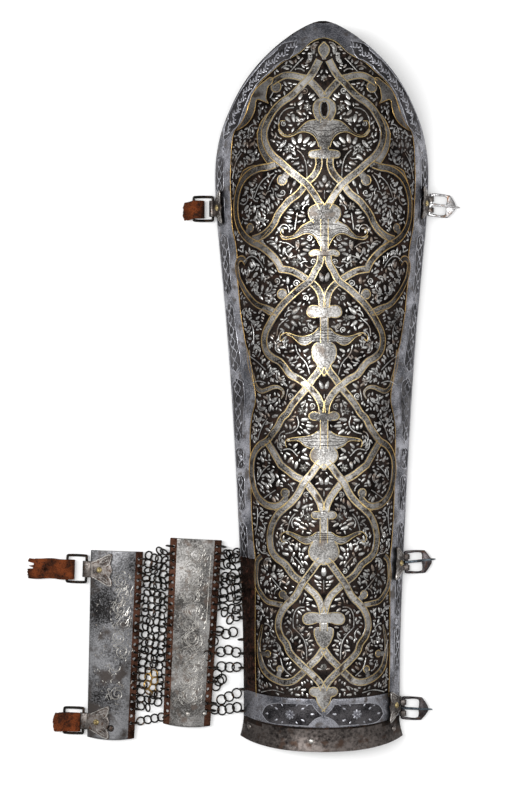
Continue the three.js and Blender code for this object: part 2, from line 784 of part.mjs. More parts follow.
function liningCutter(seat, wall) {
  const cutter = new THREE.CylinderGeometry(
    rivetHoleRadius, rivetHoleRadius, 2 * (wall + overrun), rivetSides);
  cutter.rotateX(Math.PI / 2);
  cutter.applyQuaternion(seat.turn);
  cutter.translate(seat.point.x, seat.point.y, seat.point.z);
  return solidOf(cutter);
}

const forearmSeats = forearmLining.map(({ above, turnShare }) => liningSeat(
  forearmPoint(above / plateLength, turnShare, plateWall / 2),
  forearmNormal(above / plateLength, turnShare)));
const wristSeats = (plate, rivets) => rivets.map(({ above, turnShare }) => {
  const { point, normal } = wristPoint(plate, above - plate.length / 2, turnShare);
  return liningSeat(point, normal);
});
const innerSeats = wristSeats(innerPlate, innerLining);
const outerSeats = wristSeats(outerPlate, outerLining);

function rimCutter(spot, side) {
  const turn = new THREE.Matrix4().makeTranslation(spot.edge.x, spot.edge.y, 0);
  if (side < 0) turn.multiply(new THREE.Matrix4().makeRotationZ(Math.PI));
  return rivetCutter(spot).transform(turn.toArray());
}

// Assembly
const bazuband = new THREE.Group();

let forearm = solidOf(forearmShell());
for (const cutter of forearmHoles()) forearm = forearm.subtract(cutter);
for (const seat of forearmSeats) forearm = forearm.subtract(liningCutter(seat, plateWall));
forearm = forearm
  .subtract(rimCutter(upperLeft, -1))
  .subtract(rimCutter(upperRight, 1))
  .subtract(rimCutter(midRight, 1))
  .subtract(rimCutter(lowerRight, 1));
bazuband.add(named('forearm_plate', forearm, steel));
forearmSeats.forEach((seat, i) => {
  bazuband.add(liningRivet(`lining_rivet_forearm_${i + 1}`, seat, plateWall));
});
bazuband.add(rimGroup(
  loopGroup('upper_left', upperLeft, forearmStrapLength, forearmStrapSkew), upperLeft.edge, -1));
bazuband.add(rimGroup(buckleGroup('upper_right', upperRight, upperYaw), upperRight.edge, 1));
bazuband.add(rimGroup(buckleGroup('mid_right', midRight, midYaw), midRight.edge, 1));
bazuband.add(rimGroup(buckleGroup('lower_right', lowerRight, lowerYaw), lowerRight.edge, 1));

// Mail from the forearm plate to the inner wrist plate: a whole panel, then single chains
const innerPanelRows = 10;
const innerPanelColumns = 2;
const chainRows = [[12, 12], [15, 14], [17, 16]];
const forkRows = [[22, 19], [23, 22]];
const clusterRow = 19;
const clusterAimRow = 18;
bazuband.add(named('inner_mail_panel',
  mailPanel(innerLeft(0), innerRight(0), innerPanelRows, innerPanelColumns), iron));
chainRows.forEach(([leftRow, rightRow], i) => {
  bazuband.add(named(`inner_mail_chain_${i + 1}`,
    mailChain(innerLeft(leftRow), innerRight(rightRow)), iron));
});
bazuband.add(named('inner_mail_fork', fused(forkRows.map(
  ([leftRow, rightRow]) => mailChain(innerLeft(leftRow), innerRight(rightRow)))), iron));

// Broken links that still hang from the inner plate
const clusterReach = 5;
function mailCluster() {
  const side = innerLeft(clusterRow);
  const root = holeSpot(side.line, side.row);
  const course = holeSpot(mainLine, clusterAimRow).sub(root).normalize();
  const start = root.clone().addScaledVector(course, netInset);
  const end = start.clone().addScaledVector(course, clusterReach);
  return fused([uprightRing(side), flatChain(start, end, innerRingRadius)]);
}
bazuband.add(named('inner_mail_cluster', mailCluster(), iron));

// Inner wrist plate
const innerGroup = new THREE.Group();
innerGroup.applyMatrix4(innerFrame);
let inner = solidOf(wristShell(innerPlate));
for (const cutter of [
  ...wristHoles(innerPlate, 1, innerRightLine, innerRingRadius, innerFrame),
  ...wristHoles(innerPlate, -1, innerLeftLine, outerRingRadius, innerFrame),
  ...innerSeats.map((seat) => liningCutter(seat, wristWall)),
]) inner = inner.subtract(cutter);
innerGroup.add(named('inner_wrist_plate', inner, wristSteel));
innerSeats.forEach((seat, i) => {
  innerGroup.add(liningRivet(`lining_rivet_inner_${i + 1}`, seat, wristWall));
});
bazuband.add(innerGroup);

// Mail between the two wrist plates
const outerPanelRows = 22;
const outerPanelColumns = 3;
const outerChainRow = 23;
bazuband.add(named('outer_mail_panel',
  mailPanel(outerLeft(0), outerRight(0), outerPanelRows, outerPanelColumns), iron));
bazuband.add(named('outer_mail_chain',
  mailChain(outerLeft(outerChainRow), outerRight(outerChainRow)), iron));

// Outer wrist plate, with two strap loops on its free edge
const outerGroup = new THREE.Group();
outerGroup.applyMatrix4(outerFrame);
let outer = solidOf(wristShell(outerPlate));
for (const cutter of [
  ...wristHoles(outerPlate, 1, outerRightLine, outerRingRadius, outerFrame),
  ...outerSeats.map((seat) => liningCutter(seat, wristWall)),
  rimCutter(wristUpper, -1),
  rimCutter(wristLower, -1),
]) outer = outer.subtract(cutter);
outerGroup.add(named('outer_wrist_plate', outer, wristSteel));
outerSeats.forEach((seat) => {
  outerGroup.add(liningRivet('lining_rivet_outer', seat, wristWall));
});
outerGroup.add(rimGroup(
  loopGroup('wrist_upper', wristUpper, wristUpperStrapLength, 0), wristUpper.edge, -1));
outerGroup.add(rimGroup(
  loopGroup('wrist_lower', wristLower, wristLowerStrapLength, 0), wristLower.edge, -1));
bazuband.add(outerGroup);

// The guard stands with the middle of its outline's box at zero, and the table at zero height
const bounds = new THREE.Box3().setFromObject(bazuband);
const middle = bounds.getCenter(new THREE.Vector3());
bazuband.position.set(-middle.x, -middle.y, -bounds.min.z);
bazuband.updateMatrixWorld(true);

export default bazuband;
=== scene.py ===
# %% [markdown]
# A bazuband is the forearm guard of Persian armour: one long steel gutter over the outside of the
# arm, and two small plates that fold round the wrist on iron mail. This notebook dresses its plain
# solids. The sizes below are the maker's sizes in millimetres; the frame that everything is placed
# in is in metres, so one shift and one scale carry a finished piece across.

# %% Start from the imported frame
import json
import math
import random

import bmesh
import bpy
from mathutils import Matrix, Vector
from mathutils.kdtree import KDTree


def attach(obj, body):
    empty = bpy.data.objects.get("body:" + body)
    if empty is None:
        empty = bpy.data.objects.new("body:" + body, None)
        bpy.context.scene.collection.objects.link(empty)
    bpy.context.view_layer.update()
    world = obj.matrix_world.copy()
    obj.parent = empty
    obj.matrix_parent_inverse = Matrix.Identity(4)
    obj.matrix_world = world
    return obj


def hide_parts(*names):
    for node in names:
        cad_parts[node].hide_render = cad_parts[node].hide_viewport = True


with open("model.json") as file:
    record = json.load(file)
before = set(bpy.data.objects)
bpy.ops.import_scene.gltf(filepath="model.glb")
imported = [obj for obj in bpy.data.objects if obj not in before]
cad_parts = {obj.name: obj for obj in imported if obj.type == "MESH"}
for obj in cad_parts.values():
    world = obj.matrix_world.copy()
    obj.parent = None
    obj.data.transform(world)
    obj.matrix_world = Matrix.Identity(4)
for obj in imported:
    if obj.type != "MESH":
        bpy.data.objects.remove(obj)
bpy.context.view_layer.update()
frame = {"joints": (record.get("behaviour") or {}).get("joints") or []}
MILLIMETRE = 0.001
SHIFT = Vector((36.33468, -165.0, 0.1))

# %% [markdown]
# The guard was photographed lying on a table from straight above, about a metre away. The camera
# is made first, because the ornament is drawn on the picture's own grid and then laid on the steel:
# one function turns a place in the picture into a place on the table plane at a given height.

# %% Camera and the picture's grid
PICTURE = (532, 800)
EYE = Vector((-25.6, 158.9, 1000.0))
MM_PER_DOT = 0.463
SENSOR = 36.0


def on_plan(dot_x, dot_y, height):
    """Where a dot of the picture lies, in millimetres, on a level plane at that height."""
    scale = MM_PER_DOT * (1 - height / EYE.z)
    return (EYE.x + (dot_x - PICTURE[0] / 2) * scale, EYE.y + (PICTURE[1] / 2 - dot_y) * scale)


def linked(name, data):
    """An object of this data, put into the scene."""
    made = bpy.data.objects.new(name, data)
    bpy.context.scene.collection.objects.link(made)
    return made


camera_data = bpy.data.cameras.new("camera")
camera_data.sensor_width = SENSOR
camera_data.lens = SENSOR * EYE.z / (PICTURE[1] * MM_PER_DOT)
camera = linked("camera", camera_data)
camera.location = (EYE + SHIFT) * MILLIMETRE
bpy.context.scene.camera = camera
print("lens", round(camera_data.lens, 1), "mm")

# %% [markdown]
# The forearm plate was raised from one sheet: a third of a circle in section at the wrist, deeper
# at the elbow, with a point that droops like a prow and a small flared lip at the wrist. Its shape
# is one formula, so the same formula that bends the plate can lay every strap and leaf on it.

# %% The plate's surface
PLATE_LENGTH = 330.0
PLATE_HALF = 49.1
WALL = 1.2
RIM_HEIGHT = 2.75
# Half the arc at the wrist in degrees, what it gains towards the elbow, and by what length
WRIST_ARC, MORE_ARC, DEEP_AT = 58, 15, 200
# The widest place, and how far and how suddenly the point droops past it
SHOULDER, DROOP, DROOP_POWER = 0.797, 14, 2.2
# The lip at the wrist flares, and its corners reach up the arm: how much, and over what length
FLARE, FLARE_LENGTH = 1.9, 11
SAG, SAG_LENGTH, SAG_POWER = 4.4, 70, 2.5
# A first guess of the height that a dot shows
CROWN_GUESS = 25.0
OUTLINE = [(0, 0.731), (0.061, 0.731), (0.144, 0.737), (0.229, 0.756), (0.341, 0.79), (0.481, 0.841),
           (0.593, 0.896), (0.677, 0.947), (0.742, 0.986), (0.797, 1), (0.8315, 0.976), (0.857, 0.931),
           (0.884, 0.853), (0.91, 0.758), (0.936, 0.629), (0.96, 0.47), (0.976, 0.336), (0.987, 0.226),
           (0.998, 0.079), (1, 0.03)]


def outline_slopes():
    """A slope at each point of the outline that never overshoots its neighbours."""
    rises = [(b[1] - a[1]) / (b[0] - a[0]) for a, b in zip(OUTLINE, OUTLINE[1:])]
    inner = [0 if a * b <= 0 else 2 * a * b / (a + b) for a, b in zip(rises, rises[1:])]
    return [rises[0]] + inner + [rises[-1]]


SLOPES = outline_slopes()


def half_width(share):
    """Half the plate's width at a share of its length."""
    k = max(i for i in range(len(OUTLINE) - 1) if OUTLINE[i][0] <= share)
    (x0, y0), (x1, y1) = OUTLINE[k], OUTLINE[k + 1]
    span, t = x1 - x0, (share - x0) / (x1 - x0)
    bend = t * (1 - t) * span * ((1 - t) * SLOPES[k] - t * SLOPES[k + 1])
    return PLATE_HALF * (y0 * (1 + 2 * t) * (1 - t) ** 2 + y1 * t * t * (3 - 2 * t) + bend)


def section(share):
    """Outer radius, half angle and centre height of the plate's arc."""
    share = min(max(share, 0), 1)
    grow = min(1, min(share, SHOULDER) * PLATE_LENGTH / DEEP_AT)
    tube = math.radians(WRIST_ARC + MORE_ARC * grow * (2 - grow))
    half = half_width(share)
    if share <= SHOULDER:
        radius = half / math.sin(tube) - WALL / 2
        return radius + WALL / 2, tube, RIM_HEIGHT - radius * math.cos(tube)
    radius = PLATE_HALF / math.sin(tube) - WALL / 2
    past = (share - SHOULDER) / (1 - SHOULDER)
    arc = math.asin(min(1, half / (radius + WALL / 2)))
    return radius + WALL / 2, arc, RIM_HEIGHT - radius * math.cos(tube) - DROOP * past ** DROOP_POWER


def sag(far, along):
    """How far up the arm a place near the wrist end is drawn, by its share of the way to the rim."""
    return SAG * abs(far) ** SAG_POWER * max(0, 1 - along / SAG_LENGTH) ** 2


def on_plate(across, along, height):
    """A place on the plate's face: arc length from the crown, length from the wrist, height."""
    outer, arc, centre = section(along / PLATE_LENGTH)
    turn = across / outer
    far = max(-1, min(1, turn / arc))
    reach = outer + height + FLARE * max(0, 1 - along / FLARE_LENGTH) ** 2
    return Vector((reach * math.sin(turn), along + sag(far, along), centre + reach * math.cos(turn)))


def flat_on_plate(dot_x, dot_y):
    """The arc length and length on the plate that a dot of the picture shows, found by closing in."""
    z = CROWN_GUESS
    for _ in range(5):
        x, y = on_plan(dot_x, dot_y, z)
        outer, arc, centre = section(y / PLATE_LENGTH)
        turn = math.asin(max(-0.98, min(0.98, x / outer)))
        z = centre + outer * math.cos(turn)
    along = y
    for _ in range(3):
        along = y - sag(min(1, abs(turn) / arc), along)
    return turn * outer, along


print("crown at the wrist and elbow:", on_plate(0, 10, 0).z, on_plate(0, 250, 0).z)

# %% [markdown]
# A few small helpers do the bench work. They make a sheet or a wire from flat rows of points, its
# edge filed round (Blender's own curve fill and bevel do that well), send each corner of a mesh
# through a bending function, and hand a finished mesh to its body. Bending needs corners inside
# the sheet, so the mesh is first sliced across by bisect_plane.

# %% Bench helpers
JOIN = 0.0005
SHARP_SHADE = 35


def off(x, y, reach, angle):
    """The spot that lies so far from a place, in a direction."""
    return (x + reach * math.cos(angle), y + reach * math.sin(angle))


def circle(x, y, radius, count):
    """Spots on a circle round a place."""
    return [off(x, y, radius, k * math.tau / count) for k in range(count)]


def turn_by(degrees, axis):
    """A turn about one of the axes X, Y and Z."""
    return Matrix.Rotation(math.radians(degrees), 4, axis)


def made_by(maker):
    """The mesh that an object's curve or modifiers make."""
    made = bpy.data.meshes.new_from_object(maker.evaluated_get(bpy.context.evaluated_depsgraph_get()))
    bm = bmesh.new()
    bm.from_mesh(made)
    bpy.data.meshes.remove(made)
    return bm


def discard(maker):
    """Removes a helper object and its data."""
    data = maker.data
    bpy.data.objects.remove(maker)
    (bpy.data.curves if isinstance(data, bpy.types.Curve) else bpy.data.meshes).remove(data)


def lay_knots(data, points, closed=False):
    """Adds a smooth row of knots to a curve; a third number on a point marks a corner."""
    spline = data.splines.new("BEZIER")
    spline.bezier_points.add(len(points) - 1)
    for knot, place in zip(spline.bezier_points, points):
        knot.co = (place[0], place[1], 0)
        knot.handle_left_type = knot.handle_right_type = "VECTOR" if len(place) > 2 and place[2] else "AUTO"
    spline.use_cyclic_u = closed
    return spline.bezier_points


def mesh_of(data):
    """The mesh of a curve, which is then thrown away."""
    maker = linked("work", data)
    bm = made_by(maker)
    discard(maker)
    bmesh.ops.remove_doubles(bm, verts=bm.verts, dist=JOIN)
    return bm


def curve_mesh(paths, fill, thickness, edge=0.0, rounds=1, fine=4):
    """A sheet or a wire from paths in millimetres; a path is (points, closed)."""
    data = bpy.data.curves.new("work", "CURVE")
    data.dimensions = "2D" if fill else "3D"
    data.resolution_u = fine
    data.bevel_resolution = rounds
    data.use_fill_caps = not fill
    data.bevel_depth = edge if fill else thickness / 2
    if fill:
        data.fill_mode = "BOTH"
        data.extrude = max(thickness / 2 - edge, 0)
        data.offset = -edge
    for points, closed in paths:
        lay_knots(data, points, closed)
    return mesh_of(data)


def slice_across(bm, step, axis=0):
    """Cuts across the sheet every step, so that it can bend."""
    if not bm.verts:
        return bm
    low = min(v.co[axis] for v in bm.verts)
    high = max(v.co[axis] for v in bm.verts)
    normal = Vector((0, 0, 0))
    normal[axis] = 1
    for k in range(math.floor(low / step) + 1, math.ceil(high / step)):
        bmesh.ops.bisect_plane(bm, geom=bm.verts[:] + bm.edges[:] + bm.faces[:], dist=0.0001,
                               plane_co=normal * k * step, plane_no=normal)
    return bm


def bend(bm, place):
    """Sends each corner through a function of its flat place."""
    for vertex in bm.verts:
        vertex.co = place(*vertex.co)


def raised(bm, by):
    """Lifts a mesh and gives it back."""
    bmesh.ops.translate(bm, verts=bm.verts, vec=(0, 0, by))
    return bm


def paint(bm, index):
    """Gives every face the finish of this number."""
    for face in bm.faces:
        face.material_index = index


def mesh_from(bm, name="work"):
    """Mesh data that holds a copy of this mesh."""
    data = bpy.data.meshes.new(name)
    bm.to_mesh(data)
    return data


def add(bm, other, matrix=None):
    """Adds a copy of another mesh."""
    scratch = mesh_from(other)
    if matrix is not None:
        scratch.transform(matrix)
    bm.from_mesh(scratch)
    bpy.data.meshes.remove(scratch)


def hand_over(bm, name, body, stands_for, coats, outward=True):
    """Moves a finished mesh into the frame, as a piece with its finishes that rides on a body."""
    if outward:
        bmesh.ops.recalc_face_normals(bm, faces=bm.faces[:])
    bm.transform(Matrix.Scale(MILLIMETRE, 4) @ Matrix.Translation(SHIFT))
    data = mesh_from(bm, name)
    bm.free()
    piece = linked(name, data)
    for coat in coats:
        data.materials.append(coat)
    data.shade_smooth()
    data.set_sharp_from_angle(angle=math.radians(SHARP_SHADE))
    if stands_for:
        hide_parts(*stands_for)
    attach(piece, body)
    data.calc_loop_triangles()
    print(name, len(data.loop_triangles), "triangles")


# %% [markdown]
# Old armour steel is never one colour. The finishes below are mixed from two or three tones by
# noise whose grain is given in real millimetres, with the same noise nudging the roughness and a
# fine bump. Object coordinates are metres here, so a grain of so many millimetres is a scale of a
# thousand over it.

# %% Finishes
def linear(text):
    """A hex colour as linear light."""
    parts = [int(text[i:i + 2], 16) / 255 for i in (1, 3, 5)]
    return [p / 12.92 if p <= 0.04045 else ((p + 0.055) / 1.055) ** 2.4 for p in parts] + [1.0]


def node(tree, kind, sockets=(), **settings):
    """Adds a node with its own settings; each socket that is named takes a link or a value."""
    made = tree.nodes.new(kind)
    for key, value in settings.items():
        setattr(made, key, value)
    for socket, source in sockets:
        if isinstance(source, bpy.types.NodeSocket):
            tree.links.new(source, made.inputs[socket])
        else:
            made.inputs[socket].default_value = source
    return made


CROWN_X = SHIFT.x * MILLIMETRE
# Between these distances from the crown a finish darkens towards its side tint: painted shade of the plate's
# sides, with some browning
RUBBED_AND_LIT, BROWNED_AND_SHADED = 0.009, 0.036
TONES_FROM, TONES_TO = 0.82, 1.18
WORN_FROM, WORN_TO = 0.54, 0.66


def finish(name, dark, light, grain, metallic=1.0, roughness=0.45, patch=12.0, worn=None, bump=0.05,
           stretch=(1, 1, 1), side=None):
    """Two tones mixed by fine grain and broad patches; worn is a third tone on the finest spots.
    The crown of the forearm plate is rubbed bright by sleeves; side is a tint multiplied in away
    from it, painted shade of the plate's darker sides together with some browning."""
    material = bpy.data.materials.new(name)
    material.use_nodes = True
    tree = material.node_tree
    place = node(tree, "ShaderNodeTexCoord").outputs["Object"]
    turned = node(tree, "ShaderNodeMapping", [(0, place), ("Scale", stretch)])
    fine = node(tree, "ShaderNodeTexNoise", [(0, turned.outputs[0]), ("Scale", 1000 / grain), ("Detail", 6.0),
                                             ("Roughness", 0.65)])
    broad = node(tree, "ShaderNodeTexNoise", [(0, place), ("Scale", 1000 / patch), ("Detail", 3.0)])
    both = node(tree, "ShaderNodeMath", [(0, fine.outputs[0]), (1, broad.outputs[0])], operation="ADD")
    spread = node(tree, "ShaderNodeMapRange", [(0, both.outputs[0]), (1, TONES_FROM), (2, TONES_TO)])
    tone = node(tree, "ShaderNodeMix", [(0, spread.outputs[0]), (6, linear(dark)), (7, linear(light))],
                data_type="RGBA")
    if worn:
        spots = node(tree, "ShaderNodeTexNoise",
                     [(0, place), ("Scale", 1000 / (patch * 0.35)), ("Detail", 4.0)])
        bare = node(tree, "ShaderNodeMapRange", [(0, spots.outputs[0]), (1, WORN_FROM), (2, WORN_TO)])
        tone = node(tree, "ShaderNodeMix", [(0, bare.outputs[0]), (6, tone.outputs[2]), (7, linear(worn))],
                    data_type="RGBA")
    # Away from the crown the tone is multiplied by the side tint: painted shade of the darker sides, partly
    # browning
    if side:
        centred = node(tree, "ShaderNodeMapping", [(0, place), ("Location", (-CROWN_X, 0, 0))])
        split = node(tree, "ShaderNodeSeparateXYZ", [(0, centred.outputs[0])])
        away = node(tree, "ShaderNodeMath", [(0, split.outputs[0])], operation="ABSOLUTE")
        side_shade_fade = node(tree, "ShaderNodeMapRange", [(0, away.outputs[0]), (1, RUBBED_AND_LIT), (2, BROWNED_AND_SHADED)])
        tone = node(tree, "ShaderNodeMix", [(0, side_shade_fade.outputs[0]), (6, tone.outputs[2]), (7, linear(side))],
                    data_type="RGBA", blend_type="MULTIPLY")
    rough = node(tree, "ShaderNodeMapRange", [(0, spread.outputs[0]), (3, min(1, roughness + 0.12)),
                                              (4, max(0, roughness - 0.1))])
    relief = node(tree, "ShaderNodeBump", [("Height", fine.outputs[0]), ("Strength", 0.6),
                                           ("Distance", bump * MILLIMETRE)])
    shader = tree.nodes["Principled BSDF"]
    shader.inputs["Metallic"].default_value = metallic
    for socket, source in (("Base Color", tone.outputs[2]), ("Roughness", rough.outputs[0]),
                           ("Normal", relief.outputs[0])):
        tree.links.new(source, shader.inputs[socket])
    return material


# The side tints below are painted shade of the plate's sides away from the crown, together with some browning
# Chased-down ground of the plate: browned, matt, punched all over, so it drinks the light
GROUND = finish("browned_punched_ground_steel", "#141211", "#322c29", 0.6, roughness=0.62, patch=9, bump=0.16,
                worn="#3a2d27", side="#cfc3ba")
# Raised straps and palmettes: the same steel worn bright on edges and crests
STRAP = finish("worn_bright_strap_steel", "#454341", "#aeaca9", 0.7, roughness=0.4, patch=14, worn="#67605a",
               side="#84807e", bump=0.12)
# Sunk middle of the straps: stippled with a punch, so dark oil and rust stay in it
CHANNEL = finish("stippled_strap_channel_steel", "#1d1b1a", "#b3b0ac", 0.7, roughness=0.5, patch=13,
                 worn="#3b342f", side="#6a6562", bump=0.2)
# Carved leaves and blossoms: bright on their crests
LEAF = finish("carved_leaf_steel", "#6a6866", "#cfceca", 1.2, roughness=0.36, patch=16, worn="#7a6d62",
              side="#c8c8cb")
# Blued border: grey with a cold cast
BORDER = finish("blued_border_steel", "#434449", "#94949a", 0.6, roughness=0.45, patch=12, worn="#524e4d",
                bump=0.1)
# Ground of the border's panels: lighter than the ground of the field
PANEL = finish("dark_border_panel_steel", "#1f1e20", "#514f51", 0.6, roughness=0.55, patch=8, bump=0.12)
# Vines of the border: the same steel, brighter where the chisel left crests
BORDER_LEAF = finish("carved_border_leaf_steel", "#6b6b71", "#b4b4ba", 1.0, roughness=0.42, patch=14)
# The rim beside the mail: brown rust and old oil, nearly black
RUSTED = finish("rusted_mail_rim_steel", "#100d0c", "#3a2b25", 0.9, roughness=0.6, patch=5, worn="#4a2f26",
                bump=0.2)
# Inside of the plate and its plain lip: brown, hammered smooth
INSIDE = finish("plain_browned_steel", "#1f1c1b", "#57514e", 1.5, roughness=0.5, patch=13, worn="#3a2f29")
# Gold wire hammered into cut lines, half worn off; its side tint is painted shade away from the crown
GOLD = finish("damascened_gold_wire", "#97855e", "#d6bf86", 0.9, roughness=0.36, patch=10, worn="#8c8272",
              side="#ccb89c")
# Small wrist plates: grey steel with soft staining
WRIST = finish("worn_inner_wrist_steel", "#3b3937", "#858381", 0.7, roughness=0.45, patch=13, worn="#544c47")
WRIST_DARK = finish("worn_outer_wrist_steel", "#1d1c1c", "#737375", 0.7, roughness=0.45, patch=22,
                    worn="#3a3634")
# Bright cut lines of worn engraving
CUT = finish("bright_engraved_line", "#7b7874", "#c6c3bd", 0.8, roughness=0.4, patch=5, worn="#7c746c")
# Brown strip left where the mail holes are punched
STRIP = finish("brown_mail_edge_steel", "#1c120d", "#4b3227", 0.7, roughness=0.6, patch=6)
# Black iron wire of the mail, and a few rings of brass wire from an old mend
MAIL = finish("black_iron_mail_wire", "#131211", "#363330", 0.8, roughness=0.36, patch=5, worn="#3f3026")
BRASS_RING = finish("brass_mail_wire", "#7a5f35", "#b3925a", 0.6, roughness=0.4, patch=4)
# Filed iron mounts
MOUNT = finish("filed_brown_mount_iron", "#322e2c", "#78726e", 0.6, roughness=0.42, patch=4, worn="#453830")
# Filed bead and engraved leaf on the mounts, kept bright by handling, and lighter still as a painted
# highlight of the wings' edges
BEAD_WEAR_AND_HIGHLIGHT = finish("filed_bead_wear_and_painted_highlight", "#77736f", "#c9c6c2", 0.6, roughness=0.36, patch=4)
# Buckles: grey iron, rubbed bright, with rust left in the corners
BUCKLE = finish("rubbed_buckle_iron", "#5f5d5d", "#c4c3c4", 0.5, roughness=0.3, patch=5, worn="#6b5546")
# The two lower buckles kept their dark scale, with rust in the corners, and their tongues went blue
DARK_BUCKLE = finish("scaled_buckle_iron", "#131112", "#474344", 0.5, roughness=0.36, patch=4, worn="#38271f")
TONGUE = finish("blued_tongue_iron", "#14171a", "#5a636a", 0.5, roughness=0.36, patch=4, worn="#242424")
# Rivets of brass and of silvered iron
BRASS = finish("hammered_brass_rivet", "#6d5d3c", "#bfae80", 0.5, roughness=0.38, patch=2)
SILVER = finish("silvered_iron_rivet", "#8d8984", "#d3d0ca", 0.5, roughness=0.28, patch=3)
# Old russet leather: dry, fibrous, stained nearly black in places
LEATHER = finish("dry_russet_leather", "#170b06", "#6a3315", 0.55, metallic=0.0, roughness=0.95, patch=5,
                 worn="#2a160d", bump=0.4, stretch=(1, 2.0, 1))
LEATHER.node_tree.nodes["Principled BSDF"].inputs["Specular IOR Level"].default_value = 0.15
print(len(bpy.data.materials), "materials")

# %% [markdown]
# The plate itself: a grid whose rows crowd towards the point, bent by the formula, and thickened
# by solidify. Its sharp edges are then taken off by bevel, as a file takes them off, and the mail
# holes and rivet holes are cut last.

# %% Forearm plate
ROWS, COLUMNS, CROWDING = 300, 84, 1.5
FILED, FILED_ANGLE = 0.25, 50
DRILL_LENGTH = 8.0
PLAIN_LIP = 10.4
HOLES, HOLE_PITCH = 24, 3.3003
MAIL_HOLE, RIVET_HOLE = 0.77, 1.1
RIM_HOLES_IN, RIVET_IN = 2.1, 3.8
# The mailed edges: the hinge of each, its length, and where its first ring stands
LINES = {"rim": ("inner_mail_hinge", 86.0225, 6.0), "inner_right": ("inner_wrist_hinge", 85.806, 2.8),
         "inner_left": ("outer_mail_hinge", 85.806, 3.9), "outer_right": ("outer_wrist_hinge", 86.208, 3.3)}
# Rivets that held the lining: share of the way to the rim, and length from the wrist
LINING = [("1", -0.12, 4.6), ("2", 0.87, 5.4), ("3", -0.88, 6.2)]
MOUNTS = {"upper_left": (-1, "loop_upper_left_swing"), "upper_right": (1, "frame_upper_right_swing"),
          "mid_right": (1, "frame_mid_right_swing"), "lower_right": (1, "frame_lower_right_swing")}
joints = {j["name"]: j for j in frame["joints"]}


def cut_holes(sheet, cutters):
    """The sheet with the cutters taken out of it by a Boolean modifier."""
    work = [linked("work", mesh_from(source)) for source in (sheet, cutters)]
    boolean = work[0].modifiers.new("holes", "BOOLEAN")
    boolean.object = work[1]
    boolean.operation = "DIFFERENCE"
    boolean.solver = "EXACT"
    boolean.use_self = True
    made = made_by(work[0])
    for each in work:
        discard(each)
    return made


def thicken(bm, side):
    """Turns every face up (1) or down (-1) and gives the sheet its wall."""
    bmesh.ops.recalc_face_normals(bm, faces=bm.faces[:])
    if side * sum(f.normal.z for f in bm.faces) < 0:
        bmesh.ops.reverse_faces(bm, faces=bm.faces[:])
    bmesh.ops.solidify(bm, geom=bm.faces[:], thickness=WALL)


def soften(bm):
    """Takes the sharp edges off."""
    sharp = [e for e in bm.edges if len(e.link_faces) == 2
             and e.calc_face_angle(0) > math.radians(FILED_ANGLE)]
    bmesh.ops.bevel(bm, geom=sharp, offset=FILED, offset_type="OFFSET", affect="EDGES", segments=2,
                    profile=0.5, material=-1, clamp_overlap=True)


def hinge(name):
    """The middle and direction of a hinge, in the maker's millimetres."""
    joint = joints[name]
    return Vector(joint["pos_m"]) / MILLIMETRE - SHIFT, Vector(joint["axis"]).normalized()


def line_spot(line, row):
    """Where the ring of a row stands on a mailed edge, counted from the elbow end."""
    name, length, first = LINES[line]
    middle, axis = hinge(name)
    return middle + axis * (length / 2 - first - row * HOLE_PITCH)


def normal_on(place, x, y):
    """The outward direction of a bent sheet there."""
    return (place(x, y, 1.0) - place(x, y, 0.0)).normalized()


def upright(spot, way):
    """Stands a mesh's Z axis along a direction at a spot."""
    return Matrix.Translation(spot) @ way.to_track_quat("Z", "Y").to_matrix().to_4x4()


def rod(bm, radius, length, matrix, sides=12):
    """Adds a round rod along the Z axis of the matrix."""
    bmesh.ops.create_cone(bm, cap_ends=True, segments=sides, radius1=radius, radius2=radius, depth=length,
                          matrix=matrix)


def drill(cutters, place, x, y, radius, way=None, sides=12):
    """Adds one round cutter across a bent sheet."""
    way = normal_on(place, x, y) if way is None else way
    rod(cutters, radius, DRILL_LENGTH, upright(place(x, y, 0), way), sides)


def rim_across(along, inward):
    """Arc length of a spot that far in from the rim."""
    outer, arc, _ = section(along / PLATE_LENGTH)
    return arc * outer - inward


def lining_spot(turn, above):
    """Arc length and length of a rivet that held the lining."""
    outer, arc, _ = section(above / PLATE_LENGTH)
    return turn * arc * outer, above


plate = bmesh.new()
bmesh.ops.create_grid(plate, x_segments=COLUMNS, y_segments=ROWS, size=0.5)
for vertex in plate.verts:
    share = 1 - (1 - (vertex.co.y + 0.5)) ** CROWDING
    outer, arc, _ = section(share)
    vertex.co = on_plate(2 * vertex.co.x * arc * outer, share * PLATE_LENGTH, 0)
thicken(plate, 1)
soften(plate)
cutters = bmesh.new()
for row in range(HOLES):
    y = line_spot("rim", row).y
    drill(cutters, on_plate, -rim_across(y, RIM_HOLES_IN), y, MAIL_HOLE)
for _, turn, above in LINING:
    drill(cutters, on_plate, *lining_spot(turn, above), RIVET_HOLE)
for side, joint in MOUNTS.values():
    y = hinge(joint)[0].y
    drill(cutters, on_plate, side * rim_across(y, RIVET_IN), y, RIVET_HOLE)
plate = cut_holes(plate, cutters)
for face in plate.faces:
    middle = face.calc_center_median()
    outer_face = face.normal.dot(middle - Vector((0, middle.y, 0))) > 0
    face.material_index = 0 if outer_face and middle.y > PLAIN_LIP else 1
hand_over(plate, "forearm_plate_steel", "forearm", ["forearm_plate"], [GROUND, INSIDE],
          False)

# %% [markdown]
# Each wrist plate is a nearly flat strip, a little crowned across and a little wider at the elbow
# end. A row of small holes runs down each mailed edge. The strip under the mail is left plain and
# brown, so those faces take a second finish.

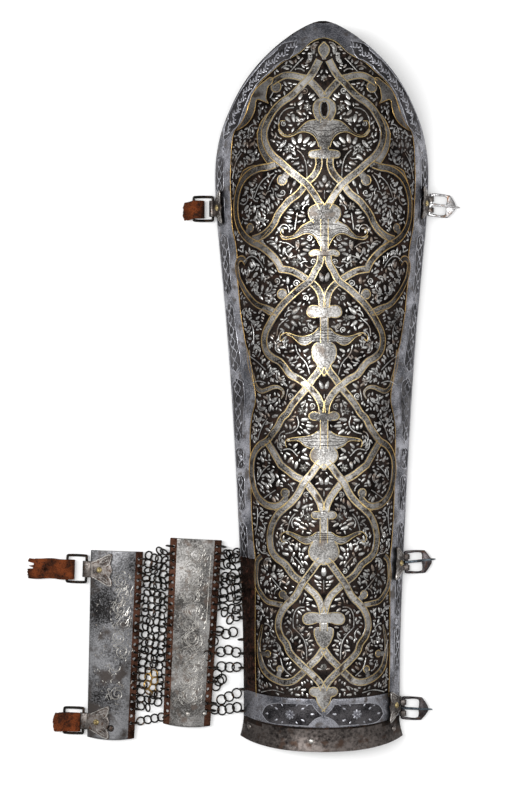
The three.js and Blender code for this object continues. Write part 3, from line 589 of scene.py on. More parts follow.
# %% Wrist plates
WRISTS = {
    "inner": {"at": (-60.0521, 51.9), "lean": 2.94, "length": 85.8, "wrist": 10.8, "elbow": 11.85,
              "edges": (("inner_right", 2.1, 1), ("inner_left", 1.75, -1)),
              "rivets": ((0.03, 5.3), (0.72, 5.7)), "steel": WRIST},
    "outer": {"at": (-95.8021, 46.2), "lean": 1.96, "length": 86.2, "wrist": 10.75, "elbow": 11.95,
              "edges": (("outer_right", 1.75, 1),), "rivets": ((0.0, 4.5),), "steel": WRIST_DARK}}
WRIST_MOUNTS = {"wrist_upper": "loop_wrist_upper_swing", "wrist_lower": "loop_wrist_lower_swing"}
WRIST_CROWN, WRIST_BULGE, STRIP_WIDTH = 1.8, 0.9, 2.9
WRIST_ROWS, WRIST_COLUMNS = 110, 36
UP = Vector((0, 0, 1))


def wrist_half(which, y):
    """Half the plate's width at a length from its middle."""
    plan = WRISTS[which]
    return plan["wrist"] + (plan["elbow"] - plan["wrist"]) * (y / plan["length"] + 0.5)


def on_wrist(which):
    """The bending function of a wrist plate: across, along from its middle, height over its face."""
    plan = WRISTS[which]
    lean = math.radians(plan["lean"])

    def place(x, y, height):
        """A place on this plate, in the design's own directions."""
        turn = x / wrist_half(which, y)
        slope = -2 * WRIST_CROWN * turn / wrist_half(which, y)
        up = Vector((-slope, 0, 1)).normalized()
        flat = Vector((x, y, RIM_HEIGHT + WRIST_CROWN * (1 - turn * turn))) + up * (WALL / 2 + height)
        return Vector((plan["at"][0] + flat.x * math.cos(lean) + flat.y * math.sin(lean),
                       plan["at"][1] - flat.x * math.sin(lean) + flat.y * math.cos(lean), flat.z))
    return place


def wrist_flat(which, spot):
    """Across and along of a point of the design on a wrist plate."""
    plan = WRISTS[which]
    lean = math.radians(plan["lean"])
    x, y = spot[0] - plan["at"][0], spot[1] - plan["at"][1]
    return x * math.cos(lean) - y * math.sin(lean), x * math.sin(lean) + y * math.cos(lean)


for which, plan in WRISTS.items():
    place = on_wrist(which)
    bm = bmesh.new()
    bmesh.ops.create_grid(bm, x_segments=WRIST_COLUMNS, y_segments=WRIST_ROWS, size=0.5)
    for vertex in bm.verts:
        turn, share = 2 * vertex.co.x, vertex.co.y + 0.5
        bulge = WRIST_BULGE * (1 - turn * turn) * max(0, 1 - share / 0.1)
        y = (share - 0.5) * plan["length"] - bulge
        vertex.co = place(turn * wrist_half(which, y), y, -WALL)
    thicken(bm, -1)
    bmesh.ops.recalc_face_normals(bm, faces=bm.faces[:])
    soften(bm)
    cutters = bmesh.new()
    for line, inward, side in plan["edges"]:
        for row in range(HOLES):
            x, y = wrist_flat(which, line_spot(line, row))
            drill(cutters, place, x - side * inward, y, MAIL_HOLE, sides=10)
    for turn, above in plan["rivets"]:
        y = above - plan["length"] / 2
        drill(cutters, place, turn * wrist_half(which, y), y, RIVET_HOLE, UP)
    if which == "outer":
        for joint in WRIST_MOUNTS.values():
            y = wrist_flat(which, hinge(joint)[0])[1]
            drill(cutters, place, RIVET_IN - wrist_half(which, y), y, RIVET_HOLE, UP)
    bm = cut_holes(bm, cutters)
    for face in bm.faces:
        x, y = wrist_flat(which, face.calc_center_median())
        mailed = any(side * x > wrist_half(which, y) - STRIP_WIDTH for _, _, side in plan["edges"])
        face.material_index = 2 if face.normal.z < 0 else int(mailed)
    hand_over(bm, which + "_wrist_plate_steel", which + "_wrist", [which + "_wrist_plate"],
              [plan["steel"], STRIP, INSIDE])

# %% [markdown]
# The wrist plates were engraved, not carved: a running vine whose cut lines now shine against the
# stained steel. Each line is a thin half-sunk wire along the plate, because at this size a raised
# hair of metal and a cut one look alike, and a wire is light. The vine is a wave with a spiral in
# each bend; the other plate keeps only traces of its own.

# %% Engraved vines
CUT_WIDTH = 0.36
VINE_PERIOD = 13.0
CIRCLE = 3.3


def spiral(x, y, radius, start, turns, way, steps=16):
    """A row of spots that winds inwards round a place; way is 1 or -1."""
    row = []
    for k in range(steps):
        share = k / (steps - 1)
        row.append(off(x, y, radius * (1 - 0.8 * share), start + way * turns * math.tau * share))
    return row


def engrave(which, rows, seed, share):
    """Lays this share of the rows on a wrist plate as fine half-sunk lines."""
    rng = random.Random(seed)
    lay = on_wrist(which)
    bm = bmesh.new()
    for row in rows:
        if rng.random() > share or len(row) < 2:
            continue
        made = curve_mesh([(row, False)], False, CUT_WIDTH * rng.uniform(0.6, 1.1), rounds=0, fine=2)
        add(bm, slice_across(made, 3.0))
    bend(bm, lambda x, y, height: lay(x, y, height * 0.5 + 0.02))
    hand_over(bm, which + "_wrist_engraved_vine", which + "_wrist", (), [CUT])


def vine_rows(low, high, sway, middle, rng):
    """A wave with a spiral in each bend, and short leaf strokes round every spiral."""
    wave, y = [], low
    while y < high:
        wave.append((middle + sway * math.sin(math.tau * y / VINE_PERIOD), y))
        y += VINE_PERIOD / 8
    rows = [wave, [(x + 0.8, y + 0.4) for x, y in wave]]
    k = math.ceil(low / (VINE_PERIOD / 2))
    while (k + 0.5) * VINE_PERIOD / 2 < high:
        y = (k + 0.5) * VINE_PERIOD / 2
        side = 1 if math.sin(math.tau * y / VINE_PERIOD) > 0 else -1
        x = middle - side * sway * 0.35
        rows.append(spiral(x, y, CIRCLE, rng.uniform(0, 1), 1.9, side))
        rows.append(spiral(x, y, CIRCLE * 1.25, rng.uniform(2, 3), 0.5, side, 8))
        for _ in range(9):
            angle = rng.uniform(0, math.tau)
            a, b = off(x, y, CIRCLE * 1.2, angle)
            rows.append([(a, b), off(a, b, 0.9, angle + 0.6), off(a, b, 1.7, angle + 1.3)])
        k += 1
    return rows


def strokes(rng, count, left, right, low, high, steep, length):
    """Short straight cuts strewn over an area, their directions between two angles."""
    rows = []
    for _ in range(count):
        x, y, angle = rng.uniform(left, right), rng.uniform(low, high), rng.uniform(*steep)
        rows.append([(x, y), off(x, y, length, angle)])
    return rows


rng = random.Random(77)
inner_rows = vine_rows(-33, 39, 2.6, -0.6, rng)
inner_rows += [[(-6.4, 8), (-6.6, 20), (-6.8, 38)], [(6.6, 4), (6.9, 20), (7.2, 36)]]
for k in range(26):
    y = -33 + k * 1.15
    inner_rows.append([(2.8, y), (4.0, y + 0.9), (5.0, y + 0.2), (6.4, y + 1.3)])
inner_rows += strokes(rng, 150, -6.6, 6.4, -34, 40, (0.6, 1.4), 1.5)
engrave("inner", inner_rows, 5, 0.92)
outer_rows = vine_rows(-26, 30, 2.4, 3.2, rng)
outer_rows += strokes(rng, 60, 0, 7, 8, 26, (1.0, 1.5), 2.4)
outer_rows += strokes(rng, 90, -8.5, 7.5, -32, 20, (0.2, 2.4), 0.8)
engrave("outer", outer_rows, 6, 0.6)

# %% [markdown]
# A mount is cut from sheet in the shape of a butterfly, hammered to the curve of the plate, and its
# body is folded round a bar. Wings and body are one filled outline; the fold is a side view of the
# same sheet, filled and given the fold's width. The far edge stands off the plate, and the leaf's
# edges and underside take black iron as painted shadow of the gap under it. The mounts of the
# buckles are slotted for the tongue. A filed bead runs round each wing.

# %% Mounts
MOUNT_WALL, SEAT = 0.8, 0.3
FOLD_RADIUS, FOLD_HALF, FOLD_FROM, FOLD_ROUND = 1.7, 3.7, 75, 245
SLOT_HALF, SLOT_DEEP = 1.35, 2.7
BAR_OUT = 2.2
# Half of the leaf: up from the edge, and along it
WING = [(0, 3.5, 1), (2.2, 4.2), (5.6, 6.0), (8.2, 7.4, 1), (9.8, 7.6), (10.2, 6.6), (9.9, 4.6), (9.3, 2.8),
        (9.7, 1.8), (10.1, 0.9)]
WING_RISE = 0.85
BEAD = [(1.6, 3.5), (5.2, 5.4), (8.4, 7.0), (9.5, 6.9), (9.6, 5.6), (9.2, 4.0), (8.6, 2.8), (7.6, 2.0)]
LEAF_LINES = [[(4.4, 3.4), (6.4, 5.0), (8.2, 5.9)], [(4.4, 3.4), (6.4, 3.6), (8.0, 4.7)]]
RIVET_SHANK, DIMPLE = 0.9, 0.6
# The brass rivets: how far in from the edge of the mount, radius, height and length
BRASS_IN, BRASS_RADIUS, BRASS_HEIGHT, BRASS_LENGTH = RIVET_IN + 0.6, 1.4, 0.9, 3.4


def side_view(bar_height, foot_low, foot_high):
    """The fold seen from its end: out from the sheet's foot, round the bar and back."""
    arc = [off(BAR_OUT, bar_height, FOLD_RADIUS, math.radians(FOLD_FROM - k * FOLD_ROUND / 11))
           for k in range(12)]
    return [(*foot_high, 1)] + arc + [(*foot_low, 1)]


def set_rivet(name, stands_for, body, place, x, y, radius, height, coat, lift=0.0, deep=2.6):
    """A domed head on a short shank; the punch left a dimple in the brass ones."""
    bm = bmesh.new()
    bmesh.ops.create_uvsphere(bm, u_segments=20, v_segments=12, radius=1)
    cut = bmesh.ops.bisect_plane(bm, geom=bm.verts[:] + bm.edges[:] + bm.faces[:], plane_co=(0, 0, 0),
                                 plane_no=UP, clear_inner=True)
    bmesh.ops.scale(bm, verts=bm.verts, vec=(radius, radius, height))
    rim = [e for e in cut["geom_cut"] if isinstance(e, bmesh.types.BMEdge)]
    bmesh.ops.holes_fill(bm, edges=rim, sides=0)
    dimple = DIMPLE if coat is BRASS else 0
    for vertex in bm.verts:
        middle = max(0, 1 - math.hypot(vertex.co.x, vertex.co.y) / (0.5 * radius))
        vertex.co.z -= dimple * height * middle * (vertex.co.z > 0)
    rod(bm, RIVET_SHANK, deep, Matrix.Translation((0, 0, -deep / 2 + 0.05)))
    bm.transform(upright(place(x, y, lift), normal_on(place, x, y)))
    hand_over(bm, name, body, [stands_for], [coat])


def mount(name, body, place, outward, joint, buckled=False):
    """A mount with its rivet: place(up from the edge, along it, height) bends the leaf, and outward
    points away from the edge. A slot leaves room for a buckle's tongue."""
    bar, _ = hinge(joint)
    outline = ([(SLOT_DEEP, SLOT_HALF, 1), (0, SLOT_HALF, 1)] if buckled else []) + WING
    outline += [(up, -span, *more) for up, span, *more in reversed(outline)]
    bm = slice_across(curve_mesh([(outline, True)], True, MOUNT_WALL, 0.2), 0.9)
    bm.normal_update()
    # The leaf's edges and underside take the black mail iron: painted shadow of the gap under the lifted wing
    for face in bm.faces:
        face.material_index = 2 if face.normal.z < 0.3 else 0
    # Bead and leaf lines take the second finish: worn bright, and partly painted highlight along the edges
    # they follow
    for line, width in [(BEAD, 0.36)] + [(line, 0.26) for line in LEAF_LINES]:
        for sign in (1, -1):
            wire = curve_mesh([([(up, sign * span) for up, span in line], False)], False, width)
            paint(wire, 1)
            add(bm, raised(wire, MOUNT_WALL / 2))
    bend(bm, lambda up, span, height: place(up, span, height + SEAT + MOUNT_WALL / 2
                                            + WING_RISE * (max(0, up) / 10) ** 3))
    edge = bar - outward * BAR_OUT
    feet = [((p - edge).dot(outward), p.z) for p in (place(0.1, 0, SEAT), place(0.1, 0, SEAT + MOUNT_WALL))]
    view = side_view(bar.z, *feet)
    halves = ((SLOT_HALF, FOLD_HALF), (-FOLD_HALF, -SLOT_HALF)) if buckled else ((-FOLD_HALF, FOLD_HALF),)
    turn = Matrix((outward, UP, outward.cross(UP))).transposed().to_4x4()
    for low, high in halves:
        fold = raised(curve_mesh([(view, True)], True, high - low, 0.2), (low + high) / 2)
        add(bm, fold, Matrix.Translation((edge.x, edge.y, 0)) @ turn)
    hand_over(bm, "butterfly_mount_" + name, body, ["strap_mount_" + name],
              [MOUNT, BEAD_WEAR_AND_HIGHLIGHT, MAIL])
    set_rivet("brass_mount_rivet_" + name, "mount_rivet_" + name, body, place, BRASS_IN, 0, BRASS_RADIUS,
              BRASS_HEIGHT, BRASS, SEAT + MOUNT_WALL, BRASS_LENGTH)


def rim_place(side, middle):
    """A leaf's own directions on the forearm plate: up the wall from the rim, and along it."""
    return lambda up, span, height: on_plate(side * rim_across(middle + span, up), middle + span, height)


def wrist_place(middle):
    """The same on the left edge of the outer wrist plate."""
    lay = on_wrist("outer")
    return lambda up, span, height: lay(up - wrist_half("outer", middle + span), middle + span, height)


for name, (side, joint) in MOUNTS.items():
    mount(name, "forearm", rim_place(side, hinge(joint)[0].y), Vector((side, 0, 0)), joint, side > 0)
for name, joint in WRIST_MOUNTS.items():
    middle, axis = hinge(joint)
    mount(name, "outer_wrist", wrist_place(wrist_flat("outer", middle)[1]), Vector((-axis.y, axis.x, 0)),
          joint)
for number, turn, above in LINING:
    set_rivet("lining_rivet_steel_" + number, "lining_rivet_forearm_" + number, "forearm", on_plate,
              *lining_spot(turn, above), 1.25, 0.7, SILVER if number == "1" else MOUNT)
for which, number, spot, size in (("inner", "inner_1", 0, 1.25), ("inner", "inner_2", 1, 0.9),
                                  ("outer", "outer", 0, 1.6)):
    turn, above = WRISTS[which]["rivets"][spot]
    y = above - WRISTS[which]["length"] / 2
    set_rivet("lining_rivet_steel_" + number, "lining_rivet_" + number, which + "_wrist", on_wrist(which),
              turn * wrist_half(which, y), y, size, size * 0.6, MOUNT if which == "outer" else SILVER)

# %% [markdown]
# The buckles are small five-sided forgings, thick at the front, with a round bar at the back and a
# tongue that wraps the bar. A filled outline with a window gives the frame; its corners are rounded
# by the bevel of the fill. The tongue is a tapered bar with an eye.

# %% Buckles
# How far each buckle and its tongue lie turned, and what they are made of
BUCKLES = {"upper_right": (-6.5, -6.5, BUCKLE, BUCKLE), "mid_right": (2.0, 6.5, DARK_BUCKLE, TONGUE),
           "lower_right": (-2.5, -2.5, DARK_BUCKLE, TONGUE)}
FRAME_OUTER = [(-0.5, 4.9, 1), (0.1, 5.3, 1), (5.0, 5.4), (8.7, 5.2, 1), (10.8, 2.5), (11.9, 0.0)]
FRAME_WINDOW = [(0.9, 4.1, 1), (7.0, 4.1), (7.4, 3.4), (7.3, 0.0)]
FRAME_WALL, FRAME_TILT = 1.5, 0.02
BAR_RADIUS, BAR_LENGTH = 0.75, 9.8
TONGUE_SIDE = [(0.0, 0.55, 1), (3.0, 0.58), (9.0, 0.5), (12.6, 0.38), (13.7, 0.2, 1)]
TONGUE_WALL, TONGUE_TOP, TONGUE_DROP = 0.9, 1.35, 0.36
LUG_OUTER, LUG_INNER, LUG_WALL = 1.6, 1.08, 1.1


def both_sides(points):
    """Closes an outline that is alike on both sides of its axis."""
    return points + [(p[0], -p[1], *p[2:]) for p in reversed(points) if p[1] != 0]


for name, (yaw, lean, iron, tongue_iron) in BUCKLES.items():
    bar, _ = hinge(f"frame_{name}_swing")
    outline = [(both_sides(FRAME_OUTER), True), (both_sides(FRAME_WINDOW), True)]
    bm = curve_mesh(outline, True, FRAME_WALL, 0.4, 2)
    for vertex in bm.verts:
        vertex.co.z += FRAME_TILT * vertex.co.x
    rod(bm, BAR_RADIUS, BAR_LENGTH, turn_by(90, "X"), 14)
    bm.transform(Matrix.Translation(bar) @ turn_by(yaw, "Z"))
    hand_over(bm, "buckle_frame_iron_" + name, "frame_" + name, ["buckle_frame_" + name],
              [iron])
    bm = slice_across(curve_mesh([(both_sides(TONGUE_SIDE), True)], True, TONGUE_WALL, 0.22, 2), 1.2)
    for vertex in bm.verts:
        reach = max(0, vertex.co.x - 2)
        vertex.co.z += TONGUE_TOP - TONGUE_DROP * (reach / 11.7) ** 3
    lug = [(circle(0, 0, radius, 14), True) for radius in (LUG_OUTER, LUG_INNER)]
    add(bm, curve_mesh(lug, True, LUG_WALL, 0.2), turn_by(90, "X"))
    bm.transform(Matrix.Translation(bar) @ turn_by(lean, "Z"))
    hand_over(bm, "buckle_tongue_iron_" + name, "tongue_" + name, ["buckle_tongue_" + name],
              [tongue_iron])

# %% [markdown]
# The left mounts hold a plain rectangle of iron wire each, and a stub of strap is still folded
# round it. Leather folds as one long strip: the strip is cut flat with both torn ends, sliced
# along, and wrapped round the wire by a bending function, the upper layer longer than the lower.

# %% Loops and straps
WIRE = 0.62
LOOP_DEPTH, LOOP_CORNER = 8.8, 0.6
LEATHER_WALL, FOLD_MIDDLE, FLAT_MIDDLE = 1.0, 1.4, 0.62
# Of each stub: its length past the loop, skew in degrees, seed, how far the fold reaches into the
# loop, half the width of loop and of leather, and how far the leather has slipped along the wire
STRAPS = {"upper_left": (5.0, 18.0, 5, 3.1, 5.4, 4.2, 0.3),
          "wrist_upper": (18.3, 0.0, 11, 1.6, 6.1, 4.7, 0.5),
          "wrist_lower": (5.0, 6.0, 23, 5.8, 5.8, 4.3, 0.7)}
STRAP_HOLE = 11.4
# The under layer's share of the upper one, on the long stub and on the short ones
UNDER_LONG, UNDER_SHORT = 0.86, 0.7


def torn(rng, s, way, notched, wide):
    """A torn end: a ragged line across the strip, with two notches where holes tore through."""
    ends = []
    steps = 31 if notched else 13
    for k in range(steps):
        share = -1 + 2 * k / (steps - 1)
        depth = rng.uniform(-0.2, 0.25) + 0.6 * abs(share) ** 3
        if notched:
            depth += min(3.3, max(5.4 - 26 * abs(share + 0.46), 5.0 - 34 * abs(share + 0.1), 0))
        ends.append((s - way * depth, share * (wide + rng.uniform(-0.15, 0.1)), 1))
    return ends


for name, (length, skew, seed, fold_in, half, wide, drop) in STRAPS.items():
    rng = random.Random(seed)
    bar, axis = hinge(f"loop_{name}_swing")
    outward = Vector((-axis.y, axis.x, 0))
    seat = Matrix.Translation(bar) @ Matrix((outward, -axis, UP)).transposed().to_4x4()
    corner = [(0, half - LOOP_CORNER), (LOOP_CORNER / 4, half - LOOP_CORNER / 4), (LOOP_CORNER, half)]
    box = corner + [(LOOP_DEPTH - x, y) for x, y in reversed(corner)]
    bm = curve_mesh([(both_sides(box), True)], False, 2 * WIRE, rounds=2)
    bm.transform(seat)
    hand_over(bm, "strap_loop_wire_" + name, "loop_" + name, ["strap_loop_" + name], [MAIL])
    quarter = FOLD_MIDDLE * math.pi / 2
    top_row = torn(rng, quarter + length + fold_in, 1, name == "wrist_upper", wide)
    low_end = -quarter - fold_in - length * (UNDER_LONG if name == "wrist_upper" else UNDER_SHORT)
    low_row = torn(rng, low_end, -1, False, wide)[::-1]
    paths = [(low_row + [(0, 0.2 - wide)] + top_row + [(0, wide - 0.1)], True)]
    if name == "wrist_upper":
        hole = [(quarter + STRAP_HOLE + 0.85 * x, 0.3 + 0.7 * y) for x, y in circle(0, 0, 1, 8)]
        paths.append((hole, True))
    bm = slice_across(curve_mesh(paths, True, LEATHER_WALL, 0.18), 0.55)
    slice_across(bm, 1.1, axis=1)
    waves = [rng.uniform(0, math.tau) for _ in range(3)]

    def wrap(s, y, height):
        """A place on the folded leather, by its length along the strip from the middle of the fold."""
        near = min(1, max(0, (abs(s) - quarter - fold_in - WIRE) / 5))
        gap = FOLD_MIDDLE - (FOLD_MIDDLE - FLAT_MIDDLE) * near * near * (3 - 2 * near)
        if abs(s) < quarter:
            angle = s / FOLD_MIDDLE
            reach = FOLD_MIDDLE + height
            flat = Vector((LOOP_DEPTH - fold_in - reach * math.cos(angle), y, reach * math.sin(angle)))
        else:
            sign = 1 if s > 0 else -1
            flat = Vector((LOOP_DEPTH - fold_in + abs(s) - quarter, y, sign * (gap + height)))
        out = flat.x - LOOP_DEPTH
        loose = min(1, max(0, out / 4))
        flat.z += (0.16 * math.sin(0.7 * out + waves[0]) + 0.1 * math.sin(0.9 * y + waves[1])) * loose
        flat.y += 0.25 * math.sin(0.45 * out + waves[2]) * loose
        flat.y += drop + math.tan(math.radians(skew)) * max(0, out)
        return flat

    bend(bm, wrap)
    bm.transform(seat)
    hand_over(bm, "russet_strap_stub_" + name, "strap_" + name, ["leather_strap_" + name],
              [LEATHER])

# %% [markdown]
# Mail is wire rings, each passed through its neighbours. One ring is a small circle of wire spun
# round; every other ring is a copy of it. The rings at the edges stand upright through the holes,
# the ones between lie tilted, each column leaning against the next, which is how four-in-one mail
# settles on a table.

# %% Mail
WIRE_RADIUS = 0.39
INNER_RING, OUTER_RING = 2.2, 1.85
NET_HEIGHT = 2.15


def ring_mesh(radius, sides=16):
    """A ring of round wire that lies flat."""
    bm = bmesh.new()
    bmesh.ops.create_circle(bm, segments=6, radius=WIRE_RADIUS,
                            matrix=Matrix.Translation((radius, 0, 0)) @ turn_by(90, "X"))
    bmesh.ops.spin(bm, geom=bm.edges[:], cent=(0, 0, 0), axis=(0, 0, 1), angle=math.tau, steps=sides,
                   use_merge=True)
    bmesh.ops.remove_doubles(bm, verts=bm.verts, dist=0.001)
    bmesh.ops.recalc_face_normals(bm, faces=bm.faces[:])
    return bm


def set_ring(bm, ring, spot, tilt, lean, turn=0.0):
    """Tilt turns the ring about the row, lean about the line across, turn about the upright."""
    add(bm, ring, Matrix.Translation(spot) @ turn_by(turn, "Z") @ turn_by(tilt, "Y") @ turn_by(lean, "X"))


def net(left, right, rows, between, radius, seed, thin=0.0, loose=0.3, mended=()):
    """Rows of rings from one mailed edge to the next; mended rows hold rings of another metal."""
    rng = random.Random(seed)
    ring, other = ring_mesh(radius), ring_mesh(radius)
    paint(other, 1)
    bm = bmesh.new()
    for row in rows:
        for line in (left, right):
            set_ring(bm, ring, line_spot(line, row), rng.uniform(-4, 4), 90 + rng.uniform(-9, 9),
                     rng.uniform(-34, 34))
        a, b = line_spot(left, row), line_spot(right, row)
        for k in range(1, between + 1):
            share = k / (between + 1)
            if rng.random() < thin * share:
                continue
            spot = a.lerp(b, share)
            spot.y -= HOLE_PITCH / 2 * (k % 2 == 0) - rng.uniform(-loose, loose)
            spot.x += rng.uniform(-loose, loose) * 0.8
            spot.z = NET_HEIGHT + rng.uniform(-0.15, 0.25)
            used = other if row in mended and k in (2, 3) else ring
            set_ring(bm, used, spot, (32 if k % 2 else -32) + rng.uniform(-20, 20), rng.uniform(-28, 28),
                     rng.uniform(-35, 35))
    return bm


def chain(bm, radius, rng, spots, turned=40):
    """Loose rings at places of the picture, each turned against the last."""
    ring = ring_mesh(radius)
    for k, (dot_x, dot_y) in enumerate(spots):
        x, y = on_plan(dot_x, dot_y, 2.2)
        set_ring(bm, ring, Vector((x, y, 2.1 + 0.3 * (k % 2))), rng.uniform(10, 24) * (-1) ** k,
                 rng.uniform(-14, 14), rng.uniform(-turned, turned))


inner = net("inner_right", "rim", range(10), 3, INNER_RING, 3, thin=0.2, loose=0.9)
rng = random.Random(9)
ring = ring_mesh(INNER_RING)
for left_row, right_row in ((12, 12), (15, 14), (17, 16), (22, 19), (23, 22), (19, 19)):
    set_ring(inner, ring, line_spot("inner_right", left_row), rng.uniform(-4, 4), 90, rng.uniform(-6, 6))
    if (left_row, right_row) != (19, 19):
        set_ring(inner, ring, line_spot("rim", right_row), rng.uniform(-4, 4), 90, rng.uniform(-6, 6))
INNER_CHAINS = [[(219, 631), (226, 634), (233, 632)], [(220.7, 651.9), (228.4, 650), (236.0, 652.4)],
                [(221.4, 666.6), (229.6, 667.2), (236.7, 667)],
                [(217, 674), (219, 681), (216, 686), (222, 679)],
                [(221.4, 699.7), (229, 696.5), (236.7, 693.3)],
                [(214.5, 709.3), (222, 710), (229.6, 708.6), (237, 707.3)]]
for row in INNER_CHAINS:
    chain(inner, INNER_RING, rng, row)
for dot_x, dot_y in ((207.4, 655.5), (213.5, 641)):
    set_ring(inner, ring, Vector((*on_plan(dot_x, dot_y, 4), 4.3)), rng.uniform(-8, 8), rng.uniform(-8, 8))
hand_over(inner, "inner_mail_rings", "inner_mail",
          ["inner_mail_panel", "inner_mail_chain_1", "inner_mail_chain_2", "inner_mail_chain_3",
           "inner_mail_fork", "inner_mail_cluster"], [MAIL])
outer = net("outer_right", "inner_left", range(22), 4, OUTER_RING, 4, loose=0.6, mended=(17, 18, 19))
ring = ring_mesh(OUTER_RING)
set_ring(outer, ring, line_spot("outer_right", 23), 0, 90)
set_ring(outer, ring, Vector((*on_plan(166.6, 716.4, 3), 2.9)), 0, 70, 20)
chain(outer, OUTER_RING, rng, [(140.6, 721), (147.6, 719.6), (154.6, 718.3), (161.4, 717)])
hand_over(outer, "outer_mail_rings", "outer_mail", ["outer_mail_panel", "outer_mail_chain"],
          [MAIL, BRASS_RING])

# %% [markdown]
# The face of the plate is carved: interlaced straps with gold lines let into both their edges run
# from the point to the wrist, palmettes sit where they meet, and leafy scrolls fill the ground. The
# pattern was laid out on one half and mirrored, and so it is here. Its lines were read off the
# picture, so each is kept as a row of picture dots; a star marks a sharp corner.

# %% From picture dots to the flat plate
AXIS_DOT = 324.0
OVERLAP = 2 * MM_PER_DOT


def on_field(dot_x, dot_y):
    """The flat place on the plate that a dot shows, centred on the plate's axis."""
    middle = flat_on_plate(AXIS_DOT, dot_y)[0]
    x, y = flat_on_plate(dot_x, dot_y)
    return x - middle, y


def dots(text):
    """Reads a row of dots such as 319,60 311,75* into flat places; a star marks a corner."""
    rows = [(word.rstrip("*").split(","), int(word.endswith("*"))) for word in text.split()]
    return [(*on_field(float(dot_x), float(dot_y)), corner) for (dot_x, dot_y), corner in rows]


def axis_corner(dot_y):
    """A corner just past the plate's axis, so that a half shape overlaps its mirror image."""
    return (OVERLAP, flat_on_plate(AXIS_DOT, dot_y)[1], 1)


def word_y(text, end):
    """The height in the picture of the first (0) or last (-1) dot of a row."""
    return float(text.split()[end].rstrip("*").split(",")[1])


STRAP_LINES = {
    "crown": "319.3,60.2 310.7,75.5 302.6,84.1 291.6,95.6 282,102.3 274.3,110 269.1,118.6 265.7,126.2 "
             "264.3,132.9 266.2,144.4 271.5,154 282,163.5 290.6,171.5 299.2,178.2 306.9,184.9 312.6,192.5 "
             "317.4,200.2 321.5,207",
    "crown_cross": "323.1,96.6 315.5,87 306.9,79.3 300.2,77.4 291.6,75.5 285.8,75.5 278,79 272,83",
    "outer_1": "275.4,164.6 268,167 259,168.6 248.5,174.4 241.3,183.9 237.5,196.4 236.5,207.8 238,221.2 "
               "242.8,232.7 251.4,241.3 260.9,246.1 270.5,253.8 277.2,261.4 281,269.1* 291.6,271 "
               "300.2,275.3 308.8,281.1 314.5,285.4 319.3,292.1 321.2,298.8 322,308",
    "inner_1": "318.3,158 318.3,165.7 314.5,174.4 305.9,183.4 298.3,193.5 288.7,201.1 283.9,206.9 "
               "278.2,214.5 274.3,223.2 268.6,230.8 260.9,236.6 253.3,239.4",
    "middle": "320.5,256 319.3,263.3 315.5,270 309.3,281.1 301.1,287.3 291.6,295.9 283.9,303.5 274.3,316.3 "
              "269.5,324.9 265.7,333.5 264.8,343.1 267.2,351.7 272.4,357.4 280.1,361.7 284.9,367* "
              "290.6,374.6 299.2,379.4 307.8,386.1 313.6,391.9 318.3,398.6 321.2,405.3 322.2,412.9",
    "outer_2": "246.5,263 242.5,258.5 238,262 238.5,275 243,286 250,297 258,305 268,308.5 277,313",
    "inner_3": "321,366 318.3,371.8 313.6,377.5 307.8,386.1 304,390.9 298.3,397.6 291.6,406.2 287.7,412.9 "
               "282,418.7 278.2,426.3 273.4,433 267.6,440.7 260,445.7 254.2,455.3 252.3,468.7 253.3,481.1 "
               "257.1,493.6 263.8,502.2 271.5,506 280.1,505.1 286.5,499.5",
    "cross_4": "267.6,441.5 276.2,456.3 281,464.9* 287.7,470.1 294.4,475.4 305,481.6 309.7,486.9 315.5,494.5 "
               "320.3,503.2 322.2,510.8",
    "inner_5": "321,462 316.4,466.8 311.7,473.5 305,481.6 297.3,495.5 291.6,502.2 283.9,508.9 278.2,514.6 "
               "273.4,523.3 271,531.9 270.5,541.4 272.9,552 278.2,558.7* 285.8,564.4 289.2,569.2 "
               "294.4,575.9 303.5,582.6 309.9,588.9 316.6,595.6 321,604.6 323.3,613.5",
    "cross_6": "321,560 317.4,563.4 312.6,570.1 303.5,582.6 295.4,596.7 287.5,604.6 282,612.4 279.2,621.3 "
               "279.2,629.1 282,636.9* 287,643.6 289.8,651.4 296.5,659.2 306,668.2 315.4,677.1 321,683.8 "
               "323.8,689.4",
    "outer_6": "262,556 258.5,560 257.1,567.3 257.4,584.5 261.9,594 268,601.2 275.3,603.4 283,605",
    "wrist": "323.8,649 317.7,658.1 311,664.8 300.9,674.9 293.1,681 284.2,682.1 277.5,679.9 270.8,676 "
             "264.1,668.2 260.8,658.1 259.6,647 261.3,633.6 263,624.6",
    "scroll": "248.5,350 250.4,367 253.3,376.6 256.1,386.1 261.5,391 267.6,389.5 274.3,387 280.1,388 "
              "283.5,393 281,398.6",
}
STRAP_OVER = {"crown": ["305,81", "304,182"], "middle": ["309,281", "307.8,386.1"], "inner_5": ["305,481.6"],
              "cross_6": ["303.5,582.6", "305,667"]}
NARROW = {"scroll": 0.62, "outer_2": 0.8, "outer_6": 0.75}
